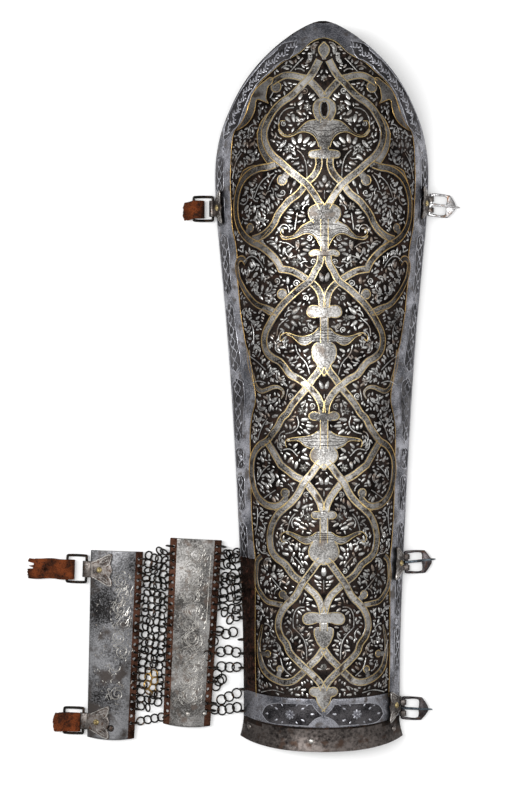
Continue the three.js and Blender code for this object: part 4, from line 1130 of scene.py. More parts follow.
HALF_SHAPES = {
    "finial": "323.6,41.5* 319.2,46 318,49.7 319.2,54 323.6,59.5*",
    "head_1": "323.6,96.6* 314.5,101.3 312.1,109 313.6,115.7 317.4,121.4",
    "knot_1": "319.3,149.2 313.6,149.7 309.3,151.1 307.8,154 309.3,157.8 314.5,158.8 318.3,158.8",
    "head_2": "321.2,203.1 314.5,204 308.8,207.8 307.3,213.6 309.3,219.3 312.6,223.2",
    "knot_2": "321.2,250 315.5,249 310.7,250.4 308.3,253.8 310.7,256.7 316.4,255.7",
    "knot_3": "321.2,306.7 315.5,304.8 309.7,305.7 306.4,310.5 306.9,315.3 311.7,318.2 318.3,317.7",
    "tear_3": "316.4,342.1 312.6,345.9 311.2,352.6 312.6,359.3 316.4,365.1 319.3,370.8 324,376.6*",
    "knot_4": "320.3,412.9 314.5,411 309.7,412.9 308.3,416.7 310.7,420.1 316.4,421",
    "head_4": "313.6,447.2 310.2,452.4 309.7,457.2 312.6,462 316.4,464.9 324,470.6*",
    "knot_5": "320.3,511.3 315.5,510.8 311.7,512.7 311.2,516.6 314.5,519.4 318.3,519.4",
    "head_5": "312.6,541.4 309.3,547.2 308.3,552.9 310.7,558.7 316.4,563 324,565.5*",
    "trefoil_1": "318.8,612.4 312.1,611.8 305.4,613.5 302.6,617.9 304.3,623.5 309.9,625.2 317.7,623",
    "drop_1": "314.9,628 313.8,632.5 315.4,639.2 319.9,647 324.9,650*",
    "trefoil_2": "318.5,687 312.1,687.2 309.3,691.6 312.1,696 316,697.5 316.5,700 318.5,705 325,712*",
}
STEMS = [(119, 150), (219, 251), (317, 343), (420, 449), (518, 543), (622, 631)]
STEM_HALF = 4.3
ARMS = [
    ("315.5,119.5 308.8,120.5 303,124.3 297.3,130 291.6,133.9 285.8,134.8",
     "281,131 279.1,126.2 281,121.4 285,121.4",
     "278.2,129.1 280.1,133.9 285.8,137.2 293.5,135.8 299.2,132.9 305,132.4 312.6,135.8 316.4,141.5 "
     "318.3,147.3"),
    ("313,219 305.9,223.2 301.1,226 296.3,231.8 291.6,235.6 285.8,236.6", "282,234.6 281,231.8 283.9,229.9",
     "280.1,235.6 282.9,239.4 289.6,239.4 297.3,237.5 303,234.6 308.8,234.2 314.5,237.5 317.4,242.3 "
     "319.3,246.1"),
    ("317.9,327.8 313.6,332.5 306.9,335.4 299.2,335.9 293.5,334.4 287.7,332.5",
     "282.9,333.5 280.1,337.3 281,341.1 284,339",
     "286.8,334.9 291.6,336.8 296.3,341.1 300.2,344.5 305.9,345.5 311.7,342.1"),
    ("317,431 314.5,433 306.9,435.9 299.2,436.8 291.6,437.8 286.8,439.7", "285.3,443.5 286.8,447.4",
     "288,441.5 292,441 299.2,441.4 304,445.7 310.7,449.1"),
    ("316.4,531.9 310.7,535.7 304,536.7 298.3,534.7 291.6,531.9 285.8,531.4",
     "282,534.3 281,538.6 283.9,542.4 286,541",
     "286.8,533.8 291.6,535.7 297.3,539.5 303,543.3 308.8,544.3 313.6,541.4"),
]
LOBES = [(282, 180.1, 5.7), (276.2, 87, 6), (250.4, 228, 4.8), (282, 294, 5.5), (285.5, 493, 5),
         (283.3, 594.5, 4.5),
         (280.8, 669.3, 4), (268.6, 653.7, 4)]
HEAD_OVAL = "323.6,100.6 320.4,102.5 318.8,107 319.2,112.5 321.4,117.2 323.6,119"
HEAD_FLOWER = "321.8,103.5 320.8,107.5 321.2,112.5 322.6,115.8"
CRESCENTS = [
    ("268,114 261.5,122 257.5,133* 258.5,146 262,155 269,165.5*", "279,166 271,153 266,144 265,133 266,125"),
    ("262,165.8 252,166.5 243.5,171* 239.5,181", "243,186 250,174"),
    ("270,229 264,236 258.5,242* 266,246.5", "263,240"),
    ("266,505 276.2,510.5* 284,506", "276,503"),
    ("262,309 269,314.5* 276,315", "270,309"),
]
RUMI = "272.4,77.4 264.8,81.2 256.1,88.9 251.4,96.6 248,108 243,120 237,131* 247.5,124.3 253.3,115.7 " \
       "256.1,106.1 257.1,100.4 262.8,101.3 269,104* 266.7,98.5 267.2,92.7 268.6,87 272.4,83.2"
BORDER_EDGE = "325.5,37 318,38.5 310.7,42 299.2,52.5 282,62.1 272.4,70.7 260.9,81.2 253.3,91.8 247.5,106.1 " \
              "242.8,120.5 236.1,128.1* 233.2,134.8 231.7,144.4 230.8,158.8 230.3,188.7 231.3,207.8 " \
              "232.2,227 235.1,241.3 237,255.7 237,274.8 238.9,294 240.8,314.4 243.7,331.6 246,345 " \
              "248.5,352.6 253.3,381.3 255.4,400.5 252.3,414.8 250.4,429.2 250.4,449.6 250.9,468.7 " \
              "251.6,507 253.6,540.5 255.5,559.6 255.5,600 255.5,650 256.5,697*"
print(len(STRAP_LINES), "straps,", len(HALF_SHAPES), "half shapes")

# %% [markdown]
# A strap is its line swept with a low flat section. Blender sweeps a section given as a second
# curve, and each knot's radius widens it a little towards the sides. The stippled floor of its sunk
# middle is a second sweep, and the gold a third with two small sections, one for each edge. Where a
# strap passes over another it is lifted a little, so the gold of the lower one is hidden under it.

# %% Straps
STRAP_EDGE, STRAP_HEIGHT, STRAP_SUNK = 1.5, 0.46, 0.35
GOLD_AT, GOLD_HALF, GOLD_PROUD = 1.14, 0.15, 0.05
CHANNEL_HALF, CHANNEL_FLOOR = 0.95, STRAP_HEIGHT - 0.08
LIFT, LIFT_SPREAD = 0.2, 20


def section_curve(name, outlines):
    """The section of a sweep, made of closed outlines."""
    data = bpy.data.curves.new(name, "CURVE")
    data.dimensions = "2D"
    for outline in outlines:
        spline = data.splines.new("POLY")
        spline.points.add(len(outline) - 1)
        for knot, (x, y) in zip(spline.points, outline):
            knot.co = (x, y, 0, 1)
        spline.use_cyclic_u = True
    return linked(name, data)


def small_box(middle, half, low, high):
    """A rectangle of a section."""
    return [(middle - half, low), (middle + half, low), (middle + half, high), (middle - half, high)]


strap_section = section_curve("strap_section", [[
    (-STRAP_EDGE, -STRAP_SUNK), (STRAP_EDGE, -STRAP_SUNK), (STRAP_EDGE, STRAP_HEIGHT - 0.12),
    (STRAP_EDGE - 0.14, STRAP_HEIGHT), (CHANNEL_HALF, STRAP_HEIGHT), (CHANNEL_HALF - 0.05, CHANNEL_FLOOR),
    (0.05 - CHANNEL_HALF, CHANNEL_FLOOR), (-CHANNEL_HALF, STRAP_HEIGHT),
    (0.14 - STRAP_EDGE, STRAP_HEIGHT), (-STRAP_EDGE, STRAP_HEIGHT - 0.12)]])
channel_section = section_curve("channel_section", [[
    (-CHANNEL_HALF, CHANNEL_FLOOR + 0.03), (0, 0.1), (CHANNEL_HALF, CHANNEL_FLOOR + 0.03)]])
gold_section = section_curve("gold_section", [
    small_box(side * GOLD_AT, GOLD_HALF, STRAP_HEIGHT - 0.2, STRAP_HEIGHT + GOLD_PROUD) for side in (-1, 1)])


def strap_width(x):
    """Straps widen a little from the crown of the plate to its sides."""
    return 1.16 + 0.08 * min(1, max(0, (abs(x) - 10) / 22))


def sweep(points, profile, over, width, taper_end):
    """A section swept along a strap's line, and lifted where it passes over another strap."""
    data = bpy.data.curves.new("work", "CURVE")
    data.dimensions = "2D"
    data.fill_mode = "NONE"
    data.resolution_u = 5
    data.bevel_mode = "OBJECT"
    data.bevel_object = profile
    data.use_fill_caps = True
    for k, knot in enumerate(lay_knots(data, points)):
        knot.radius = width * strap_width(points[k][0])
        if taper_end:
            knot.radius *= min(1, 0.25 + (len(points) - 1 - k) / 5)
    bm = mesh_of(data)
    for vertex in bm.verts:
        for x, y, _ in over:
            near = max(0, 1 - ((vertex.co.x - x) ** 2 + (vertex.co.y - y) ** 2) / LIFT_SPREAD)
            if vertex.co.z > 0:
                vertex.co.z += LIFT * near * near * (3 - 2 * near)
    return bm


relief, gold, flow = bmesh.new(), bmesh.new(), bmesh.new()
taken = []
for name, text in STRAP_LINES.items():
    points = dots(text)
    over = [dots(spot)[0] for spot in STRAP_OVER.get(name, ())]
    for target, profile in ((relief, strap_section), (relief, channel_section), (gold, gold_section)):
        made = sweep(points, profile, over, NARROW.get(name, 1.0), name in ("wrist", "scroll"))
        paint(made, int(profile is channel_section))
        add(target, made)
    for a, b in zip(points, points[1:]):
        taken += [(a[0] + (b[0] - a[0]) * k / 8, a[1] + (b[1] - a[1]) * k / 8) for k in range(8)]
print("straps:", len(relief.faces), "faces; lowest and highest",
      round(min(v.co.z for v in relief.verts), 2), round(max(v.co.z for v in relief.verts), 2))

# %% [markdown]
# Palmettes, knots and the split leaf are filled outlines of the same height, with a gold wire laid
# just inside their edges. A little of each shape passes the axis, so the halves join.

# %% Palmettes, knots and lobes
SHAPE_WALL = 0.9
GOLD_WIRE = 0.36


def fill_shape(target, outline, top, wall=SHAPE_WALL, edge=0.14):
    """Adds a filled outline whose face lies at this height."""
    made = raised(curve_mesh([(outline, True)], True, wall, edge), top - wall / 2)
    slice_across(made, 1.2)
    slice_across(made, 1.6, axis=1)
    add(target, made)


def lay_wire(target, points, closed, top, thickness=GOLD_WIRE):
    """Adds a wire along a row, hammered to half its height."""
    made = curve_mesh([(points, closed)], False, thickness, fine=3)
    bmesh.ops.scale(made, verts=made.verts, vec=(1, 1, 0.5))
    add(target, raised(made, top))


def shrink(points, by):
    """The same row moved sideways, to its right as it runs."""
    moved = []
    for k, place in enumerate(points):
        a, b = points[max(k - 1, 0)], points[min(k + 1, len(points) - 1)]
        run = Vector((b[0] - a[0], b[1] - a[1]))
        if run.length:
            run.normalize()
        moved.append((place[0] + run.y * by, place[1] - run.x * by, *place[2:]))
    return moved


def between(one, other, share):
    """The spot at a share of the way from one to the other."""
    return (one[0] + (other[0] - one[0]) * share, one[1] + (other[1] - one[1]) * share)


def at_share(points, share):
    """The spot at a share of the length of a row of points."""
    runs = [math.dist(a[:2], b[:2]) for a, b in zip(points, points[1:])]
    left = share * sum(runs)
    for (a, b), run in zip(zip(points, points[1:]), runs):
        if left <= run:
            return between(a, b, left / run)
        left -= run
    return points[-1][:2]


for k, text in enumerate(HALF_SHAPES.values()):
    points = dots(text)
    top = STRAP_HEIGHT + 0.04 + 0.02 * (k % 3)
    fill_shape(relief, [axis_corner(word_y(text, 0))] + points + [axis_corner(word_y(text, -1))], top)
    lay_wire(gold, shrink(points, -0.32), False, top)
for low, high in STEMS:
    half = STEM_HALF * MM_PER_DOT
    y0, y1 = axis_corner(low)[1], axis_corner(high)[1]
    fill_shape(relief, [(-half, y0, 1), (0.9, y0, 1), (0.9, y1, 1), (-half, y1, 1)], STRAP_HEIGHT + 0.01)
    lay_wire(gold, [(0.35 - half, y0, 1), (0.35 - half, y1, 1)], False, STRAP_HEIGHT + 0.01)
for upper, curl, lower in ARMS:
    up_row, low_row = dots(upper), dots(lower)
    ends = [axis_corner(word_y(upper, 0)), axis_corner(word_y(lower, -1))]
    fill_shape(relief, [ends[0]] + up_row + low_row + [ends[1]], STRAP_HEIGHT + 0.03)
    lay_wire(gold, shrink(up_row + dots(curl), -0.15), False, STRAP_HEIGHT + 0.03)
    lay_wire(gold, shrink(low_row, -0.15), False, STRAP_HEIGHT + 0.03)
    low_row.reverse()
    for share in (0.2, 0.4, 0.6, 0.8):
        row = [between(*ends, share)]
        row += [between(at_share(up_row, k / 9), at_share(low_row, k / 9), share) for k in range(9)]
        lay_wire(flow, row, False, STRAP_HEIGHT + 0.06, 0.24)
for dot_x, dot_y, size in LOBES:
    x, y = on_field(dot_x, dot_y)
    fill_shape(relief, circle(x, y, size * MM_PER_DOT, 10), STRAP_HEIGHT + 0.02)
    near = min(taken, key=lambda spot: (spot[0] - x) ** 2 + (spot[1] - y) ** 2)
    away = Vector((x - near[0], y - near[1])).normalized()
    across = Vector((-away.y, away.x)) * size * MM_PER_DOT * 0.6
    foot, head = Vector(near), Vector((x, y))
    neck = [(*(foot + across), 1), (*(head + across), 1), (*(head - across), 1), (*(foot - across), 1)]
    fill_shape(relief, neck, STRAP_HEIGHT + 0.03)
    facing = math.atan2(away.y, away.x)
    open_ring = [off(x, y, 0.84 * size * MM_PER_DOT, facing + (k - 4) * math.radians(34)) for k in range(9)]
    lay_wire(gold, open_ring, False, STRAP_HEIGHT + 0.03)
lay_wire(gold, dots(HEAD_OVAL), False, STRAP_HEIGHT + 0.1)
fill_shape(flow, dots(HEAD_FLOWER) + [axis_corner(116.5), axis_corner(102)], STRAP_HEIGHT + 0.1, 0.3, 0.05)
for outer, inner in CRESCENTS:
    fill_shape(relief, dots(outer) + dots(inner), STRAP_HEIGHT - 0.02)
    lay_wire(gold, shrink(dots(outer), 0.1), False, STRAP_HEIGHT - 0.02)
fill_shape(relief, dots(RUMI), STRAP_HEIGHT + 0.05)
lay_wire(gold, shrink(dots(RUMI), -0.2), True, STRAP_HEIGHT + 0.05)
print("with palmettes:", len(relief.faces), "faces")

# %% [markdown]
# Round the edge runs a blued border: a raised strip with long sunk panels in it, each filled by a
# vine, and small rosettes between the panels. The strip is one filled outline from the inner edge
# line out to the rim. Panels lie a little nearer the rim than a middle line halfway between the two.

# %% Border
BORDER_TOP, BORDER_IN = 0.36, 0.55
border, sunk, vine = bmesh.new(), bmesh.new(), bmesh.new()
inner_edge = dots(BORDER_EDGE)
edge_rows = sorted((y, x) for x, y, _ in inner_edge)


def rim_at(along):
    """Where the border's outer line lies across the plate."""
    return -rim_across(min(max(along, 0.5), 329.5), BORDER_IN)


outer_edge = [(rim_at(y), y) for y in [11.5 + k * (311.5 - 11.5) / 40 for k in range(41)]]
outer_edge += [(rim_at(y), y) for y in (315, 318.5, 321.5, 324, 326, 327.6, 328.8)]
border_tip = [(0.9, 328.8, 1), (0.9, inner_edge[0][1], 1)]
fill_shape(border, inner_edge + [(*outer_edge[0], 1)] + outer_edge[1:] + border_tip, BORDER_TOP, 0.7, 0.12)
lay_wire(gold, shrink(inner_edge, -0.3), False, BORDER_TOP - 0.02, 0.3)


def leaf_mesh(length, width, height, sides=8):
    """A pointed leaf with a raised rib, its stalk at the origin and its tip on +X."""
    bm = bmesh.new()
    bmesh.ops.create_circle(bm, cap_ends=True, cap_tris=True, segments=sides, radius=1)
    for vertex in bm.verts:
        x, y = vertex.co.x, vertex.co.y
        rib = abs(x) < 0.01 and abs(y) < 0.01
        vertex.co = ((x + 1) / 2 * length, y * width / 2 * (1 - 0.25 * x), height if rib else -0.1)
    return bm


LEAF_KINDS = [leaf_mesh(3.5, 1.55, 0.52), leaf_mesh(2.9, 1.5, 0.5), leaf_mesh(4.0, 1.6, 0.55)]
SMALL_LEAF = leaf_mesh(1.7, 0.85, 0.28)
PETAL = leaf_mesh(1.6, 1.15, 0.5, 6)
bud = bmesh.new()
bmesh.ops.create_uvsphere(bud, u_segments=8, v_segments=4, radius=0.6)


def set_flat(target, shape, x, y, angle, base=0.0, size=1.0):
    """Adds a turned and scaled copy of a small shape."""
    add(target, shape, Matrix.Translation((x, y, base)) @ Matrix.Rotation(angle, 4,
                                                                          "Z") @ Matrix.Scale(size, 4))


def blossom(target, x, y, size, base=0.0, petals=6, start=0.0):
    """Adds pointed petals round a bud."""
    for k in range(petals):
        angle = start + k * math.tau / petals
        set_flat(target, PETAL, *off(x, y, 0.3, angle), angle, base, size)
    set_flat(target, bud, x, y, 0, base + 0.12, size * 0.75)


def middle_of_border(y):
    """The border's middle and half width at a length along the plate."""
    low = max([row for row in edge_rows if row[0] <= y] or edge_rows[:1])
    high = min([row for row in edge_rows if row[0] >= y] or edge_rows[-1:])
    inside = low[1] if high[0] == low[0] else low[1] + (high[1] - low[1]) * (y - low[0]) / (high[0] - low[0])
    outside = rim_at(y)
    return (inside + outside) / 2, (inside - outside) / 2


def walk_border(start, end, step):
    """Even steps along the border's middle line between two lengths: place, heading, half width."""
    row = []
    y = start
    while y < end:
        x, half = middle_of_border(y)
        x2, _ = middle_of_border(y + 0.5)
        heading = math.atan2(0.5, x2 - x)
        row.append((x, y, heading, half * max(0.25, math.sin(heading))))
        y += step * max(0.2, math.sin(heading))
    return row


def sink(outline):
    """A sunk panel with a raised line round it."""
    fill_shape(sunk, outline, BORDER_TOP + 0.03, 0.3, 0.05)
    lay_wire(vine, outline, True, BORDER_TOP + 0.12, 0.34)


def panel(start, end, share=0.56, aside=0.24, paired=True):
    """A sunk panel with pointed ends, and a vine along it."""
    row = walk_border(start, end, 1.4)
    if len(row) < 4:
        return
    row = [(x - aside * half, y, heading, half) for x, y, heading, half in row]
    left, right = [], []
    for k, (x, y, heading, half) in enumerate(row):
        t = k / (len(row) - 1)
        wide = half * share * min(1, 2.4 * math.sin(math.pi * t) ** 0.75 + 0.02)
        left.append((x - wide * math.sin(heading), y + wide * math.cos(heading)))
        right.append((x + wide * math.sin(heading), y - wide * math.cos(heading)))
    sink([(*left[0], 1)] + left[1:] + right[:0:-1])
    stem, mate = [], []
    for k, (x, y, heading, half) in enumerate(row):
        sway = half * share * (0.5 if paired else 0.35) * math.sin(k * (0.8 if paired else 1.5))
        stem.append((x - sway * math.sin(heading), y + sway * math.cos(heading)))
        mate.append((x + sway * math.sin(heading), y - sway * math.cos(heading)))
        if 1 < k < len(row) - 2 and not (paired and k % 2):
            side = 1 if math.sin(k * 1.5) > 0 else -1
            set_flat(vine, SMALL_LEAF, *stem[-1], heading - side * 0.85, BORDER_TOP + 0.02, 1.35)
            if half * share > 1.9:
                set_flat(vine, SMALL_LEAF, *stem[-1], heading + side * 0.6, BORDER_TOP + 0.02, 1.1)
    lay_wire(vine, stem, False, BORDER_TOP + 0.14, 0.38)
    if paired:
        lay_wire(vine, mate, False, BORDER_TOP + 0.16, 0.34)


def rosette(along, size):
    """A flower on the border with a leaf before and behind it."""
    x, _ = middle_of_border(along)
    blossom(vine, x, along, size, BORDER_TOP - 0.02, 8)
    for way in (1, -1):
        set_flat(vine, SMALL_LEAF, x, along + way * 1.7, way * math.pi / 2, BORDER_TOP - 0.02, 1.2)


def at_dot(dot_y, dot_x=240):
    """The length along the plate that a height in the picture shows."""
    return flat_on_plate(dot_x, dot_y)[1]


PANELS = [(152, 190), (231, 294), (302, 372), (377, 442), (473, 511), (520, 564), (572, 616), (623, 670)]
for top_dot, low_dot in PANELS:
    panel(at_dot(low_dot), at_dot(top_dot))
panel(at_dot(469), at_dot(447), paired=False)
panel(at_dot(226, 228), at_dot(194, 225))
panel(at_dot(139, 233), at_dot(40, 296), 0.8, 0, False)
for dot_y in (146.3, 297.8, 458.2, 515.6, 568.5, 620, 676):
    rosette(at_dot(dot_y), 0.8)
BAND_LOW, BAND_HIGH = at_dot(727, 300), at_dot(698.5, 300)
band = [(rim_at(BAND_LOW), BAND_LOW, 1), (0.9, BAND_LOW, 1), (0.9, BAND_HIGH - 3.8, 1),
        (-1.2, BAND_HIGH - 3.4, 1),
        (-4.2, BAND_HIGH, 1), (rim_at(BAND_HIGH), BAND_HIGH, 1)]
fill_shape(border, band, BORDER_TOP, 0.7, 0.12)
BAND_PANEL = "263,713.9* 266,707 272,703.8 290,703.5 313,704.6* 316,709 323.3,716.2* 316,719 308.8,726* " \
             "290,724.8 277.5,724 268,721"
# Leaves of the cross band: dot, angle and size
BAND_LEAVES = [(279, 710, 2.6, 1.5), (279, 719, 3.6, 1.5), (301, 710, 0.5, 1.5), (301, 719, -0.5, 1.5),
               (270, 714, 3.1, 1.5), (310, 714.5, 0.1, 1.6), (284, 721, 4.0, 1.2), (296, 721, -0.9, 1.2),
               (284, 707, 2.2, 1.2), (296, 707, 0.9, 1.2), (306, 706.5, 0.6, 1.1), (274, 706.5, 2.7, 1.1)]
sink(dots(BAND_PANEL))
blossom(vine, *on_field(290.3, 714.5), 1.5, BORDER_TOP, 8)
for dot_x, dot_y, angle, size in BAND_LEAVES:
    set_flat(vine, SMALL_LEAF, *on_field(dot_x, dot_y), angle, BORDER_TOP, size)
for dot_y in (698.5, 727):
    y = at_dot(dot_y, 300)
    lay_wire(vine, [(rim_at(y) + 0.4, y, 1), (-4.3 if dot_y < 700 else 0.3, y, 1)], False,
             BORDER_TOP + 0.04, 0.4)
print("border:", len(border.faces), "faces, vines:", len(vine.faces))

# %% [markdown]
# The ground between the straps is packed with leafy scrolls. A carver walks a stem round the field
# in a spiral and sets leaves left and right of it until nothing more fits, and this does the same:
# a seeded walker starts where there is room, curls, sets its leaves, and stops before it meets
# anything. Single leaves fill what is left. Only one half is grown; the mirror makes the other.

# %% Scrolls in the ground
BLOSSOMS = "307,107,9 287,149,9 296.4,206,9 295,262,11 308,517,9 258,502,7 300,628,8 " \
           "270,345,8 248.6,136,7 " \
           "262,535,7 268,640,8 324,78,7 324,667,7 301.8,318,8 303.4,468,9 301,411,8"
SPRIGS = [
    ("277.9,125.1 279.8,116.1 286.2,109.1 293.9,107.5",
     "300.5,102.5 299,112.5 293,118,9 287.5,119.5 291,101 283,106,6 "
     "300.3,96 295,96,7 311.7,95.7,7 273.5,115,7", "304.5,90.5,3.2 283.7,123.8,3"),
    ("306.6,176.7 306,165.9 302.2,155 297.1,149.9",
     "293,140.5,9 299.5,138.5,10 306,140,9 312.5,144,8 288,157.5,9 "
     "295.5,163.5,8 300.3,170.5,7 312,167.5,7 290,145,6 281,136,6 278,142,5", ""),
    ("232.7,178.6 236,163 241.6,153", "238,145 244,143.5 249.5,151.5 248,158.5 235,151,6 241,163,6 "
                                      "234,170,5", ""),
    ("274,173 263,180 257,190 254.3,197.8",
     "246,188 250.5,184 262,197 263,206 254,209 246,208 243,200 261,188,6 "
     "268,175,6 251,178,6", "282.4,192.7,3.2"),
    ("276,174.5 271,182 268,190", "272,197 277,184,7 266,202,6 272,206,6", ""),
    ("290,194 292,188", "294,183,7 289,203,6", ""),
    ("294.5,229.6 295.8,220.7 297,213", "289.5,212.5 287.5,221 301.5,216 303,223.5,6 306.5,197 "
                                        "312,202,8 303,203,6 290,204,6 284,228,6", ""),
    ("282.4,242.4 288,243.5 293.9,247.5",
     "298,238.5 304,243.5 290,256 283.5,251 306,250 299,257.5 292.5,237.5,6",
     "309.2,237.5,3"),
    ("303,58 297,64 290,72", "298,57,6 291,62,6 303,66,5 285,70,6", ""),
    ("283,85 275,90 270,98", "273,84,6 279,93,6 265,92,6 271,104,5 286,89,5", ""),
    ("284,248 289,257 296,256", "289,250,8 283,259,6 303,254,7 293,268,5", ""),
    ("305,265 309,267.5 313,266", "305.8,271,7", "313.3,262,3"),
    ("244,262 252,256 260,262 263.5,268",
     "270.5,264 271,272 262,277 255,275 251,265,7 257,269,6 268,256,6 245,272,6 "
     "252,284,7 262,288,7 246,253,6", "277,281.1,3.4"),
    ("289,293 287.4,286", "287.4,280.3,8", "296.2,283.5,3.4"),
    ("277,336 278.6,326.6 287.4,317.8", "295.4,310.6,11 296.5,317,9 293.8,323.6,9 286.8,326,8 283,312,6 "
                                        "299,304,6 312.1,298,6",
     "305.2,297.8,3 305,329.7,3"),
    ("309.7,374.4 306.6,364 297.8,352.9 295.4,344.9",
     "300.2,346.5,7 305.8,350.5,7 309.1,357.5,6 312.6,366.2,8 297.8,366.2,8 "
     "290.6,359.3,7 291.5,351,6 301.5,372,6", ""),
    ("253.9,344.1 253.5,329.7 251.5,323.4",
     "248,331.5,6 249.5,338.5,6 257,336,6 257.5,318,6 260,311.5,6 247,316,6 244,303,6 "
     "248,297,6 259,326,6", "246,324.2,2.8"),
    ("286,400 288,389", "292.2,385.7,8 294,391,6", "290.6,396,3.4"),
    ("285.8,433.8 293.8,431.4 298.6,425 297,416",
     "295,410.5,8 290.6,420,8 290.1,427,6 305,419.5,9 310,426,9 306.6,432,8 "
     "299,433,5 286,426,6", "312.1,405.9,3.2"),
    ("283,450 290,449 297.8,456.1", "295.4,445.6,7 304.5,450,7 290,460,8 296.2,465.1,8 305,458,9 "
                                    "285,457,6 308,464,6", ""),
    ("258,440 262,428 268,418", "261,414 270,408 275,416 255.5,425,7 268,430,7 254,410,6 264,402,6 "
                                "276,404,6 250,436,6", ""),
    ("250,385 258,381 266,383", "254,374 262,374 272,380,6 255,390,6", ""),
    ("258,480 264,470 270,465", "262,459 272,456 277,466 268,476 256,471,6 277,476,6 262,487,6 270,485,6 "
                                "284,480,6 254,460,6",
     ""),
    ("262,500 270,494 276,490", "267,486 278,483 283,491 274,500 264,506,6", ""),
    ("287.6,530.5 291.1,519.3 295.3,513.7",
     "298.5,504.5,9 305,507,8 290.5,507,7 286,514,7 297,524,8 303,528,9 312,525,7 "
     "311,505,6", "306.5,495,3"),
    ("256,534.7 258,522 258.1,508", "262,517,6 261,528,6 254.5,524,5 262,535,6 254,514,5", "264.5,547.3,2.6"),
    ("303,567 300.5,563 295.3,557.1", "296.5,546.5,8 290.5,548.5 285.5,554 305,549,8 307,557,7 287.5,562,7 "
                                      "294,567,6",
     "303,571.5,2.8"),
    ("284,592 277,584 271.5,576.8", "263.5,571 266,583 274,568 281.5,575 262,562,6 272,589,6 288,583,6 "
                                    "281,565,5 291,573,5",
     ""),
    ("303,603 305,597", "306.5,591,7 300,597,6 309.8,599.5,7 314.5,606.2,6 296,603,6", ""),
    ("307.2,659.5 306.5,646.9 303.7,638.5 293.9,627.3",
     "311.5,650,7 300.4,646.5,7 312.1,632.9,7 302.3,629,8 289,622,6 "
     "311,641,6 288,633,6 296,638,6", ""),
    ("293.9,627.3 294,616 299,607.6 305,607", "309,610,6 300,613,6 289,612,6 304,618,6", ""),
    ("292,676 284,668 281,658", "275.5,655,7 286.5,659,7 275,664,6 290,668,6 278,673,6", ""),
    ("262,692 274,690 285,693", "267,685,6 276,684,6 281,698,6 291,690,6 298,695,6 304,690,6 270,697,6", ""),
    ("258,640 261,652", "260,634,6 265,646,6 257,653,6 266,628,6 261,618,6 267,610,6 262,601,6 270,599,6",
     ""),
    ("250,356 258,362 266,370", "256,352,6 262,357,6 268,363,6 274,369,6 257,369,6 264,377,6 272,380,6", ""),
    ("236,236 240,228 243,221", "243,231 250,233,7 236,224,6 247,240,6 256,237,6", ""),
    ("324,199 324,190", "319.2,191,6 320.5,184,8 323.6,179,8", ""),
    ("324,592 324,580", "317.7,577,8 319,585,5 323.4,572,9", ""),
    ("324,296 324,288", "320,287,6 321,277,10", ""),
    ("324,398 324,394", "321,385,9 320,392,6", ""),
    ("324,496 324,490", "320,489,6 321,481,9", ""),
]
LEAF_LENGTH = 3.5
STALK, STEP = 0.5, 0.55
CELL = 3
SCROLL_TRIES, SINGLE_TRIES = 9000, 24000
rng = random.Random(41)
foliage = bmesh.new()
blocked = KDTree(len(relief.verts) + len(taken) + len(border.verts))
for k, place in enumerate([v.co for v in relief.verts] + [Vector((x, y, 0)) for x, y in taken]
                          + [v.co for v in border.verts]):
    blocked.insert(Vector((place[0], place[1], 0)), k)
blocked.balance()
FIELD_TOP = max(place[1] for place in inner_edge) - 1.5
cells = {}


def put(x, y, size):
    """Notes that this round spot is taken."""
    cells.setdefault((round(x / CELL), round(y / CELL)), []).append((x, y, size))


def room(x, y, from_relief, from_leaves):
    """True where a spot is clear of the straps and of what has grown."""
    if x > -0.55 or y < BAND_HIGH + 0.6 or y > FIELD_TOP:
        return False
    middle, half = middle_of_border(y)
    if x < middle + half + 0.5:
        return False
    if blocked.find(Vector((x, y, 0)))[2] < from_relief:
        return False
    column, row = round(x / CELL), round(y / CELL)
    for i in (-1, 0, 1):
        for j in (-1, 0, 1):
            for ox, oy, size in cells.get((column + i, row + j), ()):
                if (x - ox) ** 2 + (y - oy) ** 2 < (from_leaves + size) ** 2:
                    return False
    return True


for word in BLOSSOMS.split():
    dot_x, dot_y, across = (float(part) for part in word.split(","))
    x, y = on_field(dot_x, dot_y)
    size = across * MM_PER_DOT / 3.6
    blossom(foliage, x, y, size, 0, 6, rng.uniform(0, 1))
    put(x, y, 1.5 * size)


def set_leaf(x, y, angle, length):
    """A leaf by its middle; left out where it would cross a strap."""
    if blocked.find(Vector((x, y, 0)))[2] < 0.62 + 0.1 * length:
        return
    set_flat(foliage, LEAF_KINDS[0], *off(x, y, -length / 2, angle), angle, 0.0, length / LEAF_LENGTH)
    for share in (-0.3, 0, 0.3):
        put(*off(x, y, share * length, angle), 0.16 * length)


for stem, leaves, spirals in SPRIGS:
    row = [(x, y) for x, y, _ in dots(stem)]
    lay_wire(foliage, row, False, 0.34, STALK)
    walked = [(a + (c - a) * k / 6, b + (d - b) * k / 6) for (a, b),
              (c, d) in zip(row, row[1:]) for k in range(7)]
    for a, b in walked:
        put(a, b, 0.3)
    for word in leaves.split():
        dot_x, dot_y, *size = (float(part) for part in word.split(","))
        x, y = on_field(dot_x, dot_y)
        a, b = min(walked, key=lambda spot: (spot[0] - x) ** 2 + (spot[1] - y) ** 2)
        set_leaf(x, y, math.atan2(y - b, x - a), (size[0] if size else 8.0) * MM_PER_DOT * 1.12)
    for word in spirals.split():
        dot_x, dot_y, across = (float(part) for part in word.split(","))
        x, y = on_field(dot_x, dot_y)
        lay_wire(foliage, spiral(x, y, across * MM_PER_DOT, rng.uniform(0, 6), 1.3, 1, 12), False, 0.36,
                 STALK)
        set_flat(foliage, bud, x, y, 0, 0.1, 0.8)
        put(x, y, across * MM_PER_DOT)
print(len(SPRIGS), "sprigs,", len(foliage.faces), "faces")


